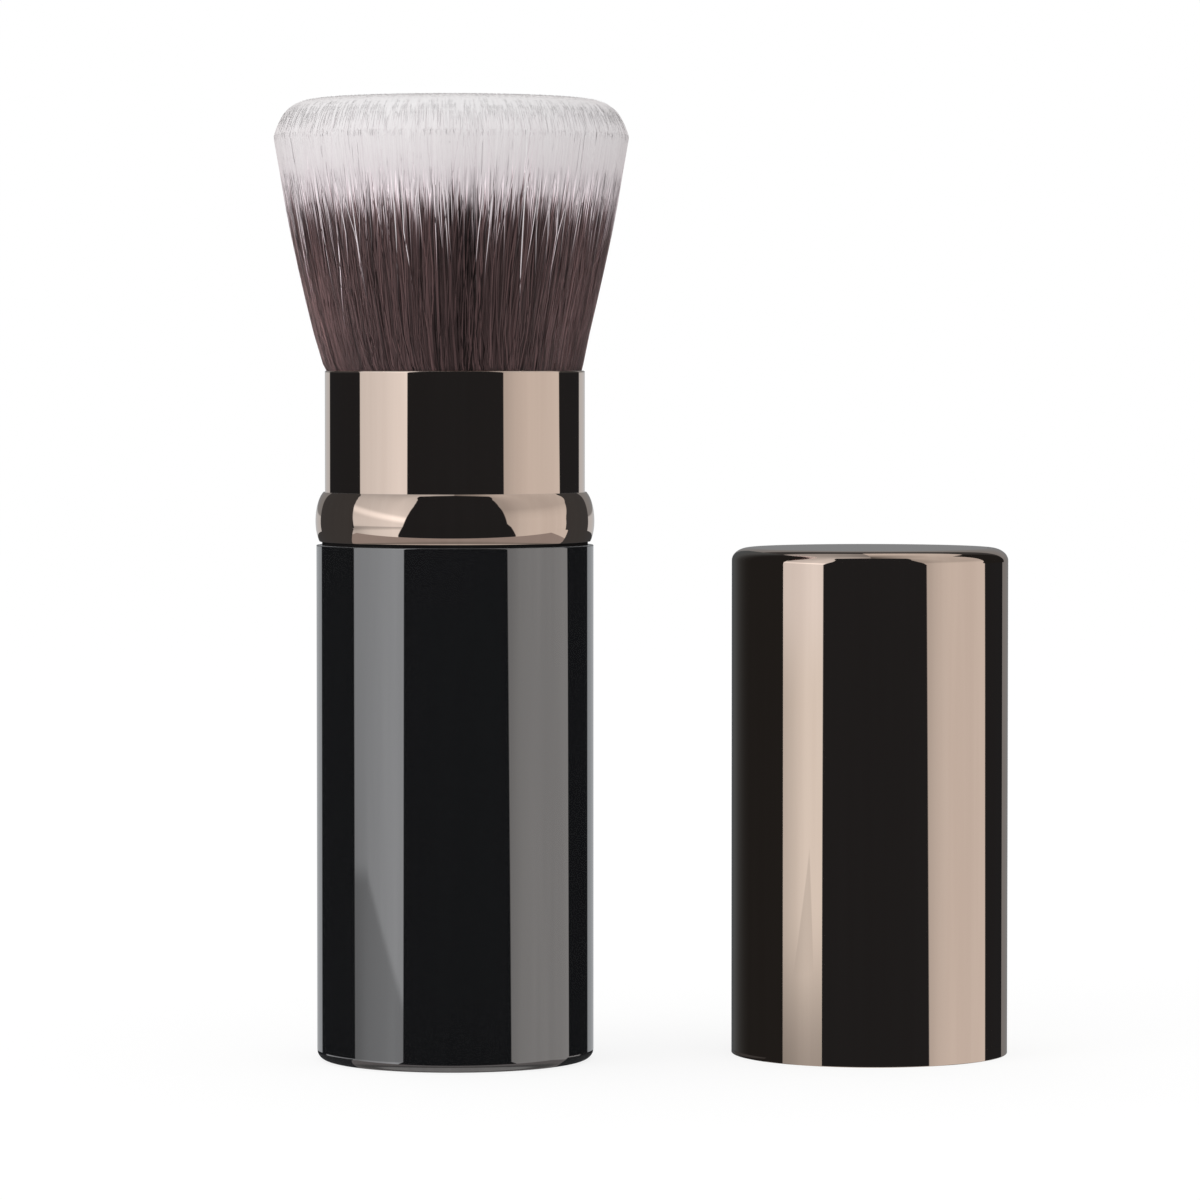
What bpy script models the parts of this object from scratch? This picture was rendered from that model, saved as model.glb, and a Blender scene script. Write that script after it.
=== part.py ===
"""Retractable makeup brush, open, with its cap standing beside it.

Units are metres and +Z is up. The origin is the middle of the handle's flat base.
A rose-gold sleeve slides up through the bead collar and gathers the flared bristles,
and then the cap fits over the raised sleeve. A fixed post in the handle carries the
bristle head, and the sleeve's carrier runs on that post between two soft stops.
"""

import math

import bmesh
import bpy
from mathutils import Matrix, Vector

# Clearances
fit_gap = 0.0001  # round pieces pressed or glued one inside the other
slide_gap = 0.00012  # the sleeve in its bore, and in the cap
seat_gap = 0.0003  # faces that rest on each other
cup_gap = 0.00025  # the sleeve round the bristle cup
post_gap = 0.00015  # pieces that slide or sit round the post
overrun = 0.0005  # how far cutters and joined shapes reach past a face
weld_distance = 0.00001

# Handle tube
metal_wall = 0.0004
handle_radius = 0.0160
handle_height = 0.0595
handle_floor = 0.0010
handle_corner = 0.00115
liner_wall = 0.00038

# Bead collar
bead_proud = 0.0001
bead_height = 0.0060
bead_lip = 0.00008
bead_foot_gap = 0.0001
skirt_height = 0.0060
bead_widest_share = 0.44
bead_top_curve_share = 0.905
bead_foot_curve_share = 0.80
bead_points = 5

# Sliding sleeve and what it rides on
sleeve_show = 0.0140
carrier_height = 0.0060
carrier_flange = 0.0010
carrier_rim = 0.0016
carrier_hub = 0.0031
carrier_web = 0.0020
ring_section = 0.0017
ring_points = 8
key_width = 0.0018
key_depth = 0.0012
key_side_gap = 0.00015

# Base and post
weight_height = 0.0030
plug_height = 0.0030
boss_height = 0.0041
boss_wall = 0.0024
post_radius = 0.0070
post_bore = 0.0016
detent_depth = 0.0003
detent_width = 0.0016
detent_floor = 0.0006
stop_low_height = 0.0020
stop_high_height = 0.0017

# Screws
screw_radius = 0.0015
screw_hole = 0.00165
screw_length = 0.0110
screw_point = 0.0012
screw_head_radius = 0.0028
screw_head_height = 0.0016
screw_head_round = 0.0005
screw_recess = 0.0032
drive_width = 0.0006
drive_length = 0.0032
drive_depth = 0.0009

# Bristle head
socket_depth = 0.0060
socket_wall = 0.0032
holder_web = 0.0018
holder_flange = 0.0018
holder_seat = 0.0058
glue_height = 0.0054
slice_height = 0.0076
slice_proud = 0.0003
slice_edge = 0.00015
cup_recess = 0.0037
head_radius = 0.0205
head_height = 0.0311
shoulder_drop = 0.0048
crown_drop = 0.0002
shoulder_power = 12
strand_rings = 10
core_rings = 6
strands_a_ring_step = 6
strand_fill_share = 0.78

# Cap, standing open end down beside the brush
cap_proud = 0.0001
cap_height = 0.0590
cap_corner = 0.0015
cap_liner_step = 0.0005
cap_liner_top = 0.0008
cap_clear = 0.0161
cap_back = 0.0060

# Facets and shading
visible_steps = 40
hidden_steps = 24
screw_steps = 12
corner_points = 4
sharp_angle = math.radians(35)

# Radii that follow from the sizes above
handle_bore = handle_radius - metal_wall
liner_radius = handle_bore - fit_gap
sleeve_bore_in_handle = liner_radius - liner_wall
sleeve_radius = sleeve_bore_in_handle - slide_gap
sleeve_bore = sleeve_radius - metal_wall
cup_radius = sleeve_bore - cup_gap
cup_bore = cup_radius - metal_wall
slice_radius = cup_bore - fit_gap
bead_radius = handle_radius + bead_proud
post_hole = post_radius + post_gap
cap_radius = handle_radius + cap_proud
cap_bore = cap_radius - metal_wall

# The strands stand in rings, this far apart at the slice and at their tips
root_pitch = (slice_radius - slice_edge) / (strand_rings + strand_fill_share / 2)
tip_pitch = head_radius / (strand_rings + strand_fill_share / 2)

# Heights of the base stack
weight_bottom = handle_floor + seat_gap
weight_top = weight_bottom + weight_height
plug_bottom = weight_top + seat_gap
plug_top = plug_bottom + plug_height
boss_top = plug_top + boss_height
recess_depth = screw_head_height + seat_gap
stop_low_bottom = boss_top + seat_gap
stop_low_top = stop_low_bottom + stop_low_height
carrier_bottom = stop_low_top + seat_gap
carrier_top = carrier_bottom + carrier_height

# Heights of the collar, the sleeve and the head, down to the upper stop
bead_bottom = handle_height + bead_foot_gap
bead_top = bead_bottom + bead_height
skirt_bottom = handle_height - skirt_height
sleeve_top = bead_top + sleeve_show
slice_top = sleeve_top + slice_proud
slice_bottom = slice_top - slice_height
glue_top = slice_bottom - seat_gap
glue_bottom = glue_top - glue_height
holder_top = glue_bottom - seat_gap
holder_web_top = holder_top - recess_depth
socket_top = holder_web_top - holder_web
holder_bottom = socket_top - socket_depth
flange_top = holder_top - holder_seat
flange_bottom = flange_top - holder_flange
stop_high_top = holder_bottom - seat_gap
stop_high_bottom = stop_high_top - stop_high_height
slide_travel = stop_high_bottom - seat_gap - carrier_top

# The friction ring sits at the middle of the carrier
ring_height = (carrier_bottom + carrier_top) / 2
ring_inner = post_hole

# The cap stands this far from the brush's axis
cap_place = Vector((handle_radius + cap_clear + cap_radius, cap_back, 0))


def clear_scene():
    for thing in list(bpy.data.objects):
        bpy.data.objects.remove(thing)


def new_collection(name):
    collection = bpy.data.collections.new(name)
    bpy.context.scene.collection.children.link(collection)
    return collection


def make_material(name, colour, roughness, metallic=0.0):
    material = bpy.data.materials.new(name)
    material.use_nodes = True
    shader = material.node_tree.nodes["Principled BSDF"]
    shader.inputs["Base Color"].default_value = (*colour, 1.0)
    shader.inputs["Roughness"].default_value = roughness
    shader.inputs["Metallic"].default_value = metallic
    return material


def make_frame(name, place):
    frame = bpy.data.objects.new(name, None)
    frame.location = place
    parts.objects.link(frame)
    return frame


def finish_part(part, frame, material):
    part.parent = frame
    part.data.materials.clear()
    part.data.materials.append(material)
    part.data.shade_smooth()
    part.data.set_sharp_from_angle(angle=sharp_angle)
    return part


def turned_mesh(name, profile, steps, closed):
    """Turn a profile of (radius, height) points, which runs down its outer side."""
    mesh = bpy.data.meshes.new(name)
    count = len(profile)
    edges = [(n, n + 1) for n in range(count - 1)]
    if closed:
        edges.append((count - 1, 0))
    mesh.from_pydata([(radius, 0, height) for radius, height in profile], edges, [])
    blank = bpy.data.objects.new(name, mesh)
    cutters.objects.link(blank)
    screw = blank.modifiers.new("turn", "SCREW")
    screw.axis = "Z"
    screw.steps = steps
    screw.render_steps = steps
    screw.use_merge_vertices = True
    screw.merge_threshold = weld_distance
    turned = bpy.data.meshes.new_from_object(blank.evaluated_get(bpy.context.evaluated_depsgraph_get()))
    turned.name = name
    bpy.data.objects.remove(blank)
    bpy.data.meshes.remove(mesh)
    return turned


def turned_part(name, profile, frame, material, steps=hidden_steps, closed=True):
    part = bpy.data.objects.new(name, turned_mesh(name, profile, steps, closed))
    parts.objects.link(part)
    return finish_part(part, frame, material)


def ring_profile(outer, inner, bottom, top):
    return [(outer, top), (outer, bottom), (inner, bottom), (inner, top)]


def corner(middle_radius, middle_height, radius, start, end, count=corner_points):
    """Points of a rounded corner, angles in degrees from +X towards +Z."""
    points = []
    for n in range(count + 1):
        angle = math.radians(start + (end - start) * n / count)
        points.append((middle_radius + radius * math.cos(angle), middle_height + radius * math.sin(angle)))
    return points


def box_shape(name, low, high):
    """A box between two corners, kept as a hidden wire shape for a Boolean."""
    mesh = bpy.data.meshes.new(name)
    build = bmesh.new()
    low, high = Vector(low), Vector(high)
    size = high - low
    place = Matrix.Translation((low + high) / 2) @ Matrix.Diagonal((*size, 1))
    bmesh.ops.create_cube(build, size=1, matrix=place)
    build.to_mesh(mesh)
    build.free()
    return hidden_shape(name, mesh)


def hidden_shape(name, mesh):
    shape = bpy.data.objects.new(name, mesh)
    shape.hide_render = True
    shape.display_type = "WIRE"
    cutters.objects.link(shape)
    return shape


def combine(part, shape, operation):
    boolean = part.modifiers.new(shape.name, "BOOLEAN")
    boolean.operation = operation
    boolean.solver = "EXACT"
    boolean.object = shape


def build_handle():
    inner_corner = handle_corner - metal_wall
    profile = [(0, handle_floor)]
    profile += corner(handle_bore - inner_corner, handle_floor + inner_corner, inner_corner, -90, 0)
    profile += [(handle_bore, handle_height), (handle_radius, handle_height)]
    profile += corner(handle_radius - handle_corner, handle_corner, handle_corner, 0, -90)
    profile += [(0, 0)]
    turned_part("handle_shell", profile, handle, black_lacquer, visible_steps, closed=False)

    liner = ring_profile(liner_radius, sleeve_bore_in_handle, plug_top + seat_gap, skirt_bottom - seat_gap)
    turned_part("handle_liner", liner, handle, black_plastic, visible_steps)

    weight = [(0, weight_top), (handle_bore - seat_gap, weight_top)]
    weight += [(handle_bore - seat_gap, weight_bottom + seat_gap)]
    weight += [(handle_bore - handle_corner, weight_bottom), (0, weight_bottom)]
    turned_part("base_weight", weight, handle, plain_steel, closed=False)


def bead_outline():
    """The bead's outer side from its top lip down to its foot, as two quarter ovals."""
    widest = bead_bottom + bead_height * bead_widest_share
    lip_radius = sleeve_bore_in_handle + bead_lip
    points = []
    for end_height, end_radius, reach in (
        (bead_top, lip_radius, bead_top_curve_share),
        (bead_bottom, liner_radius, bead_foot_curve_share),
    ):
        bulge = (bead_radius - end_radius) / (1 - math.sqrt(1 - reach**2))
        side = []
        for n in range(bead_points + 1):
            way = n / bead_points
            fall = bulge * (1 - math.sqrt(1 - (reach * way) ** 2))
            side.append((bead_radius - fall, widest + (end_height - widest) * way))
        points.append(side)
    return points[0][::-1] + points[1][1:]


def build_collar():
    profile = bead_outline()
    profile += [(liner_radius, skirt_bottom)]
    profile += [(sleeve_bore_in_handle, skirt_bottom), (sleeve_bore_in_handle, bead_top)]
    turned_part("collar_ring", profile, handle, rose_gold, visible_steps)


def build_base():
    boss_radius = post_hole + boss_wall
    web_bottom = plug_bottom + recess_depth
    profile = [
        (liner_radius, plug_top),
        (liner_radius, plug_bottom),
        (screw_recess, plug_bottom),
        (screw_recess, web_bottom),
        (screw_hole, web_bottom),
        (screw_hole, plug_top),
        (post_hole, plug_top),
        (post_hole, boss_top),
        (boss_radius, boss_top),
        (boss_radius, plug_top),
    ]
    turned_part("base_plug", profile, handle, black_plastic)
    build_screw("post_screw", web_bottom, 1)
    stop = ring_profile(boss_radius, post_hole, stop_low_bottom, stop_low_top)
    turned_part("low_stop_ring", stop, handle, clear_silicone)


def build_screw(name, seat, way):
    """A pan-head screw whose head lies under its seat (way 1) or on it (way -1)."""
    under_head = seat - way * fit_gap
    head_end = under_head - way * screw_head_height
    tip = seat + way * screw_length
    profile = [
        (0, tip),
        (screw_radius, tip - way * screw_point),
        (screw_radius, under_head),
        (screw_head_radius, under_head),
        (screw_head_radius, head_end + way * screw_head_round),
        (screw_head_radius - screw_head_round, head_end),
        (0, head_end),
    ]
    if way < 0:
        profile.reverse()
    screw = turned_part(name, profile, handle, plain_steel, screw_steps, closed=False)
    half, reach = drive_width / 2, drive_length / 2
    floor = head_end + way * drive_depth
    past = head_end - way * overrun
    low, high = min(floor, past), max(floor, past)
    slots = box_shape(f"{name}_slot", (-reach, -half, low), (reach, half, high))
    combine(slots, box_shape(f"{name}_cross", (-half, -reach, low), (half, reach, high)), "UNION")
    combine(screw, slots, "DIFFERENCE")


def detent(height):
    """A shallow groove round the post, top to bottom, that the friction ring drops into."""
    half, floor = detent_width / 2, detent_floor / 2
    deep = post_radius - detent_depth
    return [
        (post_radius, height + half),
        (deep, height + floor),
        (deep, height - floor),
        (post_radius, height - half),
    ]


def build_post():
    bottom, top = plug_top + seat_gap, socket_top - seat_gap
    profile = [(post_radius, top)]
    profile += detent(ring_height + slide_travel)
    profile += detent(ring_height)
    profile += [(post_radius, bottom), (post_bore, bottom), (post_bore, top)]
    post = turned_part("center_post", profile, handle, white_plastic)
    half = key_width / 2 + key_side_gap
    floor = post_radius - key_depth - post_gap
    low = (-half, floor, boss_top)
    high = (half, post_radius + overrun, top + overrun)
    combine(post, box_shape("post_keyway", low, high), "DIFFERENCE")


def build_carrier():
    rim_radius = sleeve_bore - fit_gap
    rim_inner = rim_radius - carrier_rim
    hub_radius = post_hole + carrier_hub
    groove_radius = post_hole + ring_section + fit_gap
    groove_half = ring_section / 2 + fit_gap
    web_low = ring_height - carrier_web / 2
    web_high = ring_height + carrier_web / 2
    profile = [
        (rim_radius, carrier_top),
        (rim_radius, carrier_bottom + carrier_flange),
        (sleeve_radius, carrier_bottom + carrier_flange),
        (sleeve_radius, carrier_bottom),
        (rim_inner, carrier_bottom),
        (rim_inner, web_low),
        (hub_radius, web_low),
        (hub_radius, carrier_bottom),
        (post_hole, carrier_bottom),
        (post_hole, ring_height - groove_half),
        (groove_radius, ring_height - groove_half),
        (groove_radius, ring_height + groove_half),
        (post_hole, ring_height + groove_half),
        (post_hole, carrier_top),
        (hub_radius, carrier_top),
        (hub_radius, web_high),
        (rim_inner, web_high),
        (rim_inner, carrier_top),
    ]
    carrier = turned_part("slide_carrier", profile, sleeve, black_plastic)
    low = (-key_width / 2, post_radius - key_depth, carrier_bottom)
    high = (key_width / 2, post_hole + overrun, ring_height - groove_half - fit_gap)
    combine(carrier, box_shape("carrier_key", low, high), "UNION")

    section = ring_section / 2
    ring = corner(ring_inner + section, ring_height, section, 90, -270, ring_points)
    turned_part("friction_ring", ring[:-1], sleeve, clear_silicone)


def build_sleeve():
    bottom = carrier_bottom + carrier_flange + fit_gap
    lip = metal_wall / 2
    profile = corner(sleeve_radius - lip, sleeve_top - lip, lip, 180, 0)
    profile += [(sleeve_radius, bottom), (sleeve_bore, bottom)]
    turned_part("sliding_sleeve", profile, sleeve, rose_gold, visible_steps)


def build_head_mount():
    skirt_radius = post_hole + socket_wall
    stop = ring_profile(skirt_radius, post_hole, stop_high_bottom, stop_high_top)
    turned_part("high_stop_ring", stop, handle, clear_silicone)
    profile = [
        (slice_radius, holder_top),
        (slice_radius, flange_top),
        (cup_radius, flange_top),
        (cup_radius, flange_bottom),
        (skirt_radius, holder_bottom),
        (post_hole, holder_bottom),
        (post_hole, socket_top),
        (screw_hole, socket_top),
        (screw_hole, holder_web_top),
        (screw_recess, holder_web_top),
        (screw_recess, holder_top),
    ]
    turned_part("head_holder", profile, handle, white_plastic)
    build_screw("head_screw", holder_web_top, -1)

    cup = ring_profile(cup_radius, cup_bore, flange_top + fit_gap, sleeve_top - cup_recess)
    turned_part("head_cup", cup, handle, plain_aluminium, visible_steps)
    glue = [(0, glue_top), (slice_radius, glue_top), (slice_radius, glue_bottom), (0, glue_bottom)]
    turned_part("bristle_glue", glue, handle, amber_epoxy, closed=False)


def crown_height(radius):
    """Height of the trimmed top of the bristles at a distance from the axis."""
    way = radius / head_radius
    return slice_top + head_height - shoulder_drop * way**shoulder_power - crown_drop * way**2


def add_strand(build, angle, root, tip):
    """One four-sided strand from the slice up to the trimmed top.

    root and tip each give the strand's distance from the axis and its half widths
    outward and sideways.
    """
    outward = Vector((math.cos(angle), math.sin(angle), 0))
    sideways = Vector((-math.sin(angle), math.cos(angle), 0))
    for vertex in bmesh.ops.create_cube(build, size=2)["verts"]:
        at_tip = vertex.co.z > 0
        reach, half_out, half_side = tip if at_tip else root
        place = outward * (reach + half_out * vertex.co.x) + sideways * half_side * vertex.co.y
        place.z = crown_height(place.length) if at_tip else slice_top - overrun
        vertex.co = place


def strand_size(ring, count, pitch):
    """Where a ring's strands stand at this pitch of the rings, and their half widths."""
    half = strand_fill_share / 2
    if ring == 0:
        return 0, half * pitch, half * pitch
    room = (ring - half) * math.tan(math.pi / count)
    return ring * pitch, half * pitch, strand_fill_share * room * pitch


def build_bristles(name, first_ring, last_ring, inner, outer):
    build = bmesh.new()
    for ring in range(first_ring, last_ring + 1):
        count = max(1, strands_a_ring_step * ring)
        root = strand_size(ring, count, root_pitch)
        tip = strand_size(ring, count, tip_pitch)
        for n in range(count):
            add_strand(build, math.tau * (n + ring / 2) / count, root, tip)
    mesh = bpy.data.meshes.new(f"{name}_strands")
    build.to_mesh(mesh)
    build.free()
    if inner:
        profile = ring_profile(outer, inner, slice_bottom, slice_top)
    else:
        profile = [(0, slice_top), (outer, slice_top), (outer, slice_bottom), (0, slice_bottom)]
    bristles = turned_part(name, profile, handle, two_tone_fibre, closed=bool(inner))
    combine(bristles, hidden_shape(f"{name}_strands", mesh), "UNION")


def build_head():
    split = root_pitch * (core_rings + 1 / 2)
    build_bristles("bristle_core", 0, core_rings, 0, split - fit_gap / 2)
    build_bristles("bristle_flare", core_rings + 1, strand_rings, split + fit_gap / 2, slice_radius)


def build_cap():
    inner_corner = cap_corner - metal_wall
    profile = [(0, cap_height)]
    profile += corner(cap_radius - cap_corner, cap_height - cap_corner, cap_corner, 90, 0)
    profile += [(cap_radius, 0), (cap_bore, 0)]
    roof = cap_height - metal_wall
    profile += corner(cap_bore - inner_corner, roof - inner_corner, inner_corner, 0, 90)
    profile += [(0, roof)]
    turned_part("cap_shell", profile, cap, rose_gold, visible_steps, closed=False)

    liner = cap_bore - fit_gap
    bore = sleeve_radius + slide_gap
    liner_top = roof - seat_gap
    ceiling = liner_top - cap_liner_top
    liner_corner = inner_corner
    profile = [(0, liner_top)]
    profile += corner(liner - liner_corner, liner_top - liner_corner, liner_corner, 90, 0)
    profile += [(liner, cap_liner_step), (bore, cap_liner_step), (bore, ceiling), (0, ceiling)]
    turned_part("cap_liner", profile, cap, black_plastic, visible_steps, closed=False)


clear_scene()
parts = new_collection("retractable_makeup_brush")
cutters = new_collection("cutters")

black_lacquer = make_material("black_lacquer", (0.012, 0.012, 0.013), 0.06, 0.6)
rose_gold = make_material("rose_gold", (0.80, 0.64, 0.54), 0.10, 1.0)
black_plastic = make_material("black_plastic", (0.02, 0.02, 0.02), 0.45)
white_plastic = make_material("white_plastic", (0.75, 0.75, 0.73), 0.45)
plain_steel = make_material("plain_steel", (0.56, 0.57, 0.58), 0.35, 1.0)
plain_aluminium = make_material("plain_aluminium", (0.80, 0.81, 0.82), 0.30, 1.0)
clear_silicone = make_material("clear_silicone", (0.70, 0.72, 0.72), 0.55)
amber_epoxy = make_material("amber_epoxy", (0.55, 0.36, 0.14), 0.25)
two_tone_fibre = make_material("two_tone_fibre", (0.42, 0.37, 0.37), 0.60)

handle = make_frame("handle_frame", (0, 0, 0))
sleeve = make_frame("sleeve_slide_axis", (0, 0, 0))
cap = make_frame("cap_lift_axis", cap_place)
sleeve.parent = handle
cap.parent = handle

build_handle()
build_collar()
build_base()
build_post()
build_carrier()
build_sleeve()
build_head_mount()
build_head()
build_cap()
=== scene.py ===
# %% [markdown]
# # A retractable makeup brush and its cap
# This lesson dresses a finished mechanical model. The frame holds every solid piece at its real
# size, and this script only adds what the eye sees: smooth turned metal, fibres, finishes, light.
# Lengths are metres, +Z is up, and the brush stands on the origin with its cap to the right.

# %% Open the frame
import math

import bpy
import numpy as np
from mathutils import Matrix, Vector


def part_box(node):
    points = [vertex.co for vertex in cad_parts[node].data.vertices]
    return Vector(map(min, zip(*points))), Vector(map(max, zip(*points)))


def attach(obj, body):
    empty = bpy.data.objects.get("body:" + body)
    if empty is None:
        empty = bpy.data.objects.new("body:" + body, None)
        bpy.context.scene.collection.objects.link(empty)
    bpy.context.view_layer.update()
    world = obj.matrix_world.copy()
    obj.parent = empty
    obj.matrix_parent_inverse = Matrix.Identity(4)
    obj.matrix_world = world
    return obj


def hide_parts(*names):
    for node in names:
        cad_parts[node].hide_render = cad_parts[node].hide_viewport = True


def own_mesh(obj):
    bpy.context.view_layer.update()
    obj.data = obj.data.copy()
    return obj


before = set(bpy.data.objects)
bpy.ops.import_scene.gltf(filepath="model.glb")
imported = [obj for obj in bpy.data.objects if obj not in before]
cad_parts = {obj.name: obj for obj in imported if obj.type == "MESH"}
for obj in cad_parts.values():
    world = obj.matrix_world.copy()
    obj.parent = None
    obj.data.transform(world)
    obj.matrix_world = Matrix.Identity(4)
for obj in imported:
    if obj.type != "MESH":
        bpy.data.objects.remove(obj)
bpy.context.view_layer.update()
mm = 0.001

# %% [markdown]
# ## Sizes that the frame already knows
# A turned piece is described by a few radii and heights. They could be typed again here, but then
# a later change of the frame would leave the skins behind. So each one is read from the box of
# the solid that it dresses.

# %% Read the driving sizes
handle_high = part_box("handle_shell")[1]
collar_low, collar_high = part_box("collar_ring")
sleeve_low, sleeve_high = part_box("sliding_sleeve")
cap_low, cap_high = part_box("cap_shell")
head_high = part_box("bristle_flare")[1]
crown_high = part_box("bristle_core")[1]

handle_radius = handle_high.x
bead_radius = collar_high.x
sleeve_radius = sleeve_high.x
cap_radius = (cap_high.x - cap_low.x) / 2
cap_centre = (cap_low + cap_high) / 2
head_radius = head_high.x
handle_top, sleeve_top, head_top = handle_high.z, sleeve_high.z, crown_high.z
metal_wall = 0.4 * mm
radii_in_mm = [round(size / mm, 1) for size in (handle_radius, sleeve_radius, head_radius, cap_radius)]
print("radii of the handle, sleeve, head and cap in mm:", radii_in_mm)

# %% [markdown]
# ## Small helpers for objects and shader nodes
# Long node trees read badly when every node takes three lines. One helper adds a node, sets its
# options, and either links or fills each input, so a finish reads as one sentence for each node.
# The others name what comes up again and again: a product, a soft step, a choice, a noise, a
# bump. A socket knows the tree that it lies in, so they only need sockets. Effects that several
# finishes share are node groups with named sockets.


# %% Helpers
def add_object(name, data):
    """A new object in the scene."""
    made = bpy.data.objects.new(name, data)
    bpy.context.scene.collection.objects.link(made)
    return made


def feed(node, inputs):
    """Link an input when its value is a socket, and set it otherwise."""
    for key, value in inputs.items():
        if isinstance(value, bpy.types.NodeSocket):
            node.id_data.links.new(value, node.inputs[key])
        else:
            node.inputs[key].default_value = value
    return node


def add_node(tree, kind, inputs=None, **options):
    made = tree.nodes.new("ShaderNode" + kind)
    for name, value in options.items():
        setattr(made, name, value)
    return feed(made, inputs or {})


def tree_of(*values):
    return next(value.id_data for value in values if isinstance(value, bpy.types.NodeSocket))


def math_node(operation, *values):
    return add_node(tree_of(*values), "Math", dict(enumerate(values)), operation=operation).outputs[0]


def times(first, second):
    return math_node("MULTIPLY", first, second)


def times_plus(value, factor, more):
    return math_node("MULTIPLY_ADD", value, factor, more)


def less(value):
    return math_node("SUBTRACT", 1.0, value)


def ramp(value, low, high, to_low=0.0, to_high=1.0):
    """A smooth step of value from to_low to to_high between low and high."""
    inputs = {"Value": value, "From Min": low, "From Max": high, "To Min": to_low, "To Max": to_high}
    return add_node(value.id_data, "MapRange", inputs, interpolation_type="SMOOTHSTEP").outputs[0]


def choose(share, first, second):
    """A number between first and second, by share."""
    inputs = {0: share, 2: first, 3: second}
    return add_node(share.id_data, "Mix", inputs, data_type="FLOAT").outputs[0]


def blend_colours(share, first, second, blend_type="MIX"):
    tree, inputs = tree_of(share, first, second), {0: share, 6: first, 7: second}
    return add_node(tree, "Mix", inputs, data_type="RGBA", blend_type=blend_type).outputs[2]


def grey_of(value):
    return add_node(value.id_data, "CombineColor", {0: value, 1: value, 2: value}).outputs[0]


def own_place(tree):
    """Where a point lies on its own object."""
    return add_node(tree, "TexCoord").outputs["Object"]


def noise(place, scale, detail, **shape):
    inputs = {"Vector": place, "Scale": scale, "Detail": detail, **shape}
    return add_node(place.id_data, "TexNoise", inputs).outputs["Fac"]


def bumpy(height, strength, distance):
    """A normal with a bump."""
    inputs = {"Strength": strength, "Distance": distance, "Height": height}
    return add_node(height.id_data, "Bump", inputs).outputs["Normal"]


def new_effect(name, inputs, outputs):
    """An empty node group with named sockets, and its two end nodes."""
    group = bpy.data.node_groups.new(name, "ShaderNodeTree")
    for label, default in inputs.items():
        socket = group.interface.new_socket(label, in_out="INPUT", socket_type="NodeSocketFloat")
        socket.default_value = default
    for label in outputs:
        group.interface.new_socket(label, in_out="OUTPUT", socket_type="NodeSocketFloat")
    return group, group.nodes.new("NodeGroupInput"), group.nodes.new("NodeGroupOutput")


def use_effect(tree, group, **values):
    """Put an effect into a material, with values for its named inputs."""
    return feed(add_node(tree, "Group", node_tree=group), values).outputs


# %% [markdown]
# ## Effect: lines left by drawing and polishing
# A thin metal tube is drawn through a die and then polished along its length. Both leave very
# faint streaks that run up the tube. Noise stretched along Z gives them: across the tube it
# changes every fraction of a millimetre, and along the tube it hardly changes at all. The group
# gives a tone for the colour and a height for a bump.


# %% Drawn lines group
def make_drawn_lines():
    sockets = {"Lines": 900.0, "Stretch": 0.03, "Broad": 160.0}
    group, start, end = new_effect("drawn_lines", sockets, ("Tone", "Height"))
    squeeze = add_node(group, "CombineXYZ", {0: 1.0, 1: 1.0, 2: start.outputs["Stretch"]})
    inputs = {0: own_place(group), 1: squeeze.outputs[0]}
    along = add_node(group, "VectorMath", inputs, operation="MULTIPLY").outputs[0]
    fine = noise(along, start.outputs["Lines"], 2.0)
    broad = noise(along, start.outputs["Broad"], 1.0)
    tone = times(math_node("ADD", fine, broad), 0.5)
    feed(end, dict(Tone=tone, Height=fine))
    return group


drawn_lines = make_drawn_lines()

# %% [markdown]
# ## Effect: handling marks
# Polished pieces are touched all the time, so fingers leave soft smudges that scatter a little
# more light than the clean metal. Two octaves of wide noise, cut by a threshold, give patches
# with soft rims. They only change roughness, so they show in a reflection and nowhere else.


# %% Handling marks group
def make_handling_marks():
    group, start, end = new_effect("handling_marks", {"Size": 90.0, "Cover": 0.5}, ("Mask",))
    patches = noise(own_place(group), start.outputs["Size"], 3.0, Roughness=0.6, Distortion=0.4)
    edge = less(start.outputs["Cover"])
    upper = math_node("ADD", edge, 0.18)
    feed(end, dict(Mask=ramp(patches, edge, upper)))
    return group


handling_marks = make_handling_marks()

# %% [markdown]
# ## Effect: worn edges
# Rims and corners rub against a bag and a table first. The turned skins below carry a number
# named edge at every point, 1 on a lip and 0 on a plain wall. Noise breaks that band up, so the
# wear is patchy as on a real piece and not a painted line.


# %% Worn edges group
def make_worn_edges():
    group, start, end = new_effect("worn_edges", {"Grain": 700.0, "Amount": 1.0}, ("Mask",))
    edge = add_node(group, "Attribute", attribute_name="edge").outputs["Fac"]
    grain = noise(own_place(group), start.outputs["Grain"], 4.0)
    broken = ramp(times(edge, grain), 0.3, 0.62)
    feed(end, dict(Mask=times(broken, start.outputs["Amount"])))
    return group


worn_edges = make_worn_edges()

# %% [markdown]
# ## Effect: moulded grain
# Plastic and silicone pieces take the fine spark-eroded texture of their mould. Small round noise
# gives the height, and a wider one a slight mottle of the colour from uneven pigment.


# %% Moulded grain group
def make_moulded_grain():
    group, start, end = new_effect("moulded_grain", {"Grain": 3500.0, "Mottle": 120.0}, ("Tone", "Height"))
    place = own_place(group)
    fine = noise(place, start.outputs["Grain"], 3.0)
    wide = noise(place, start.outputs["Mottle"], 2.0)
    feed(end, dict(Tone=wide, Height=fine))
    return group


moulded_grain = make_moulded_grain()

# %% [markdown]
# ## Effect: lathe rings
# Screws, the base weight and the spun cup come off a lathe, which leaves rings round the axis.
# The distance from the axis plus the height makes one number that is constant along such a ring,
# and noise of that one number gives rings of uneven strength on walls and on flat faces alike.


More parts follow.
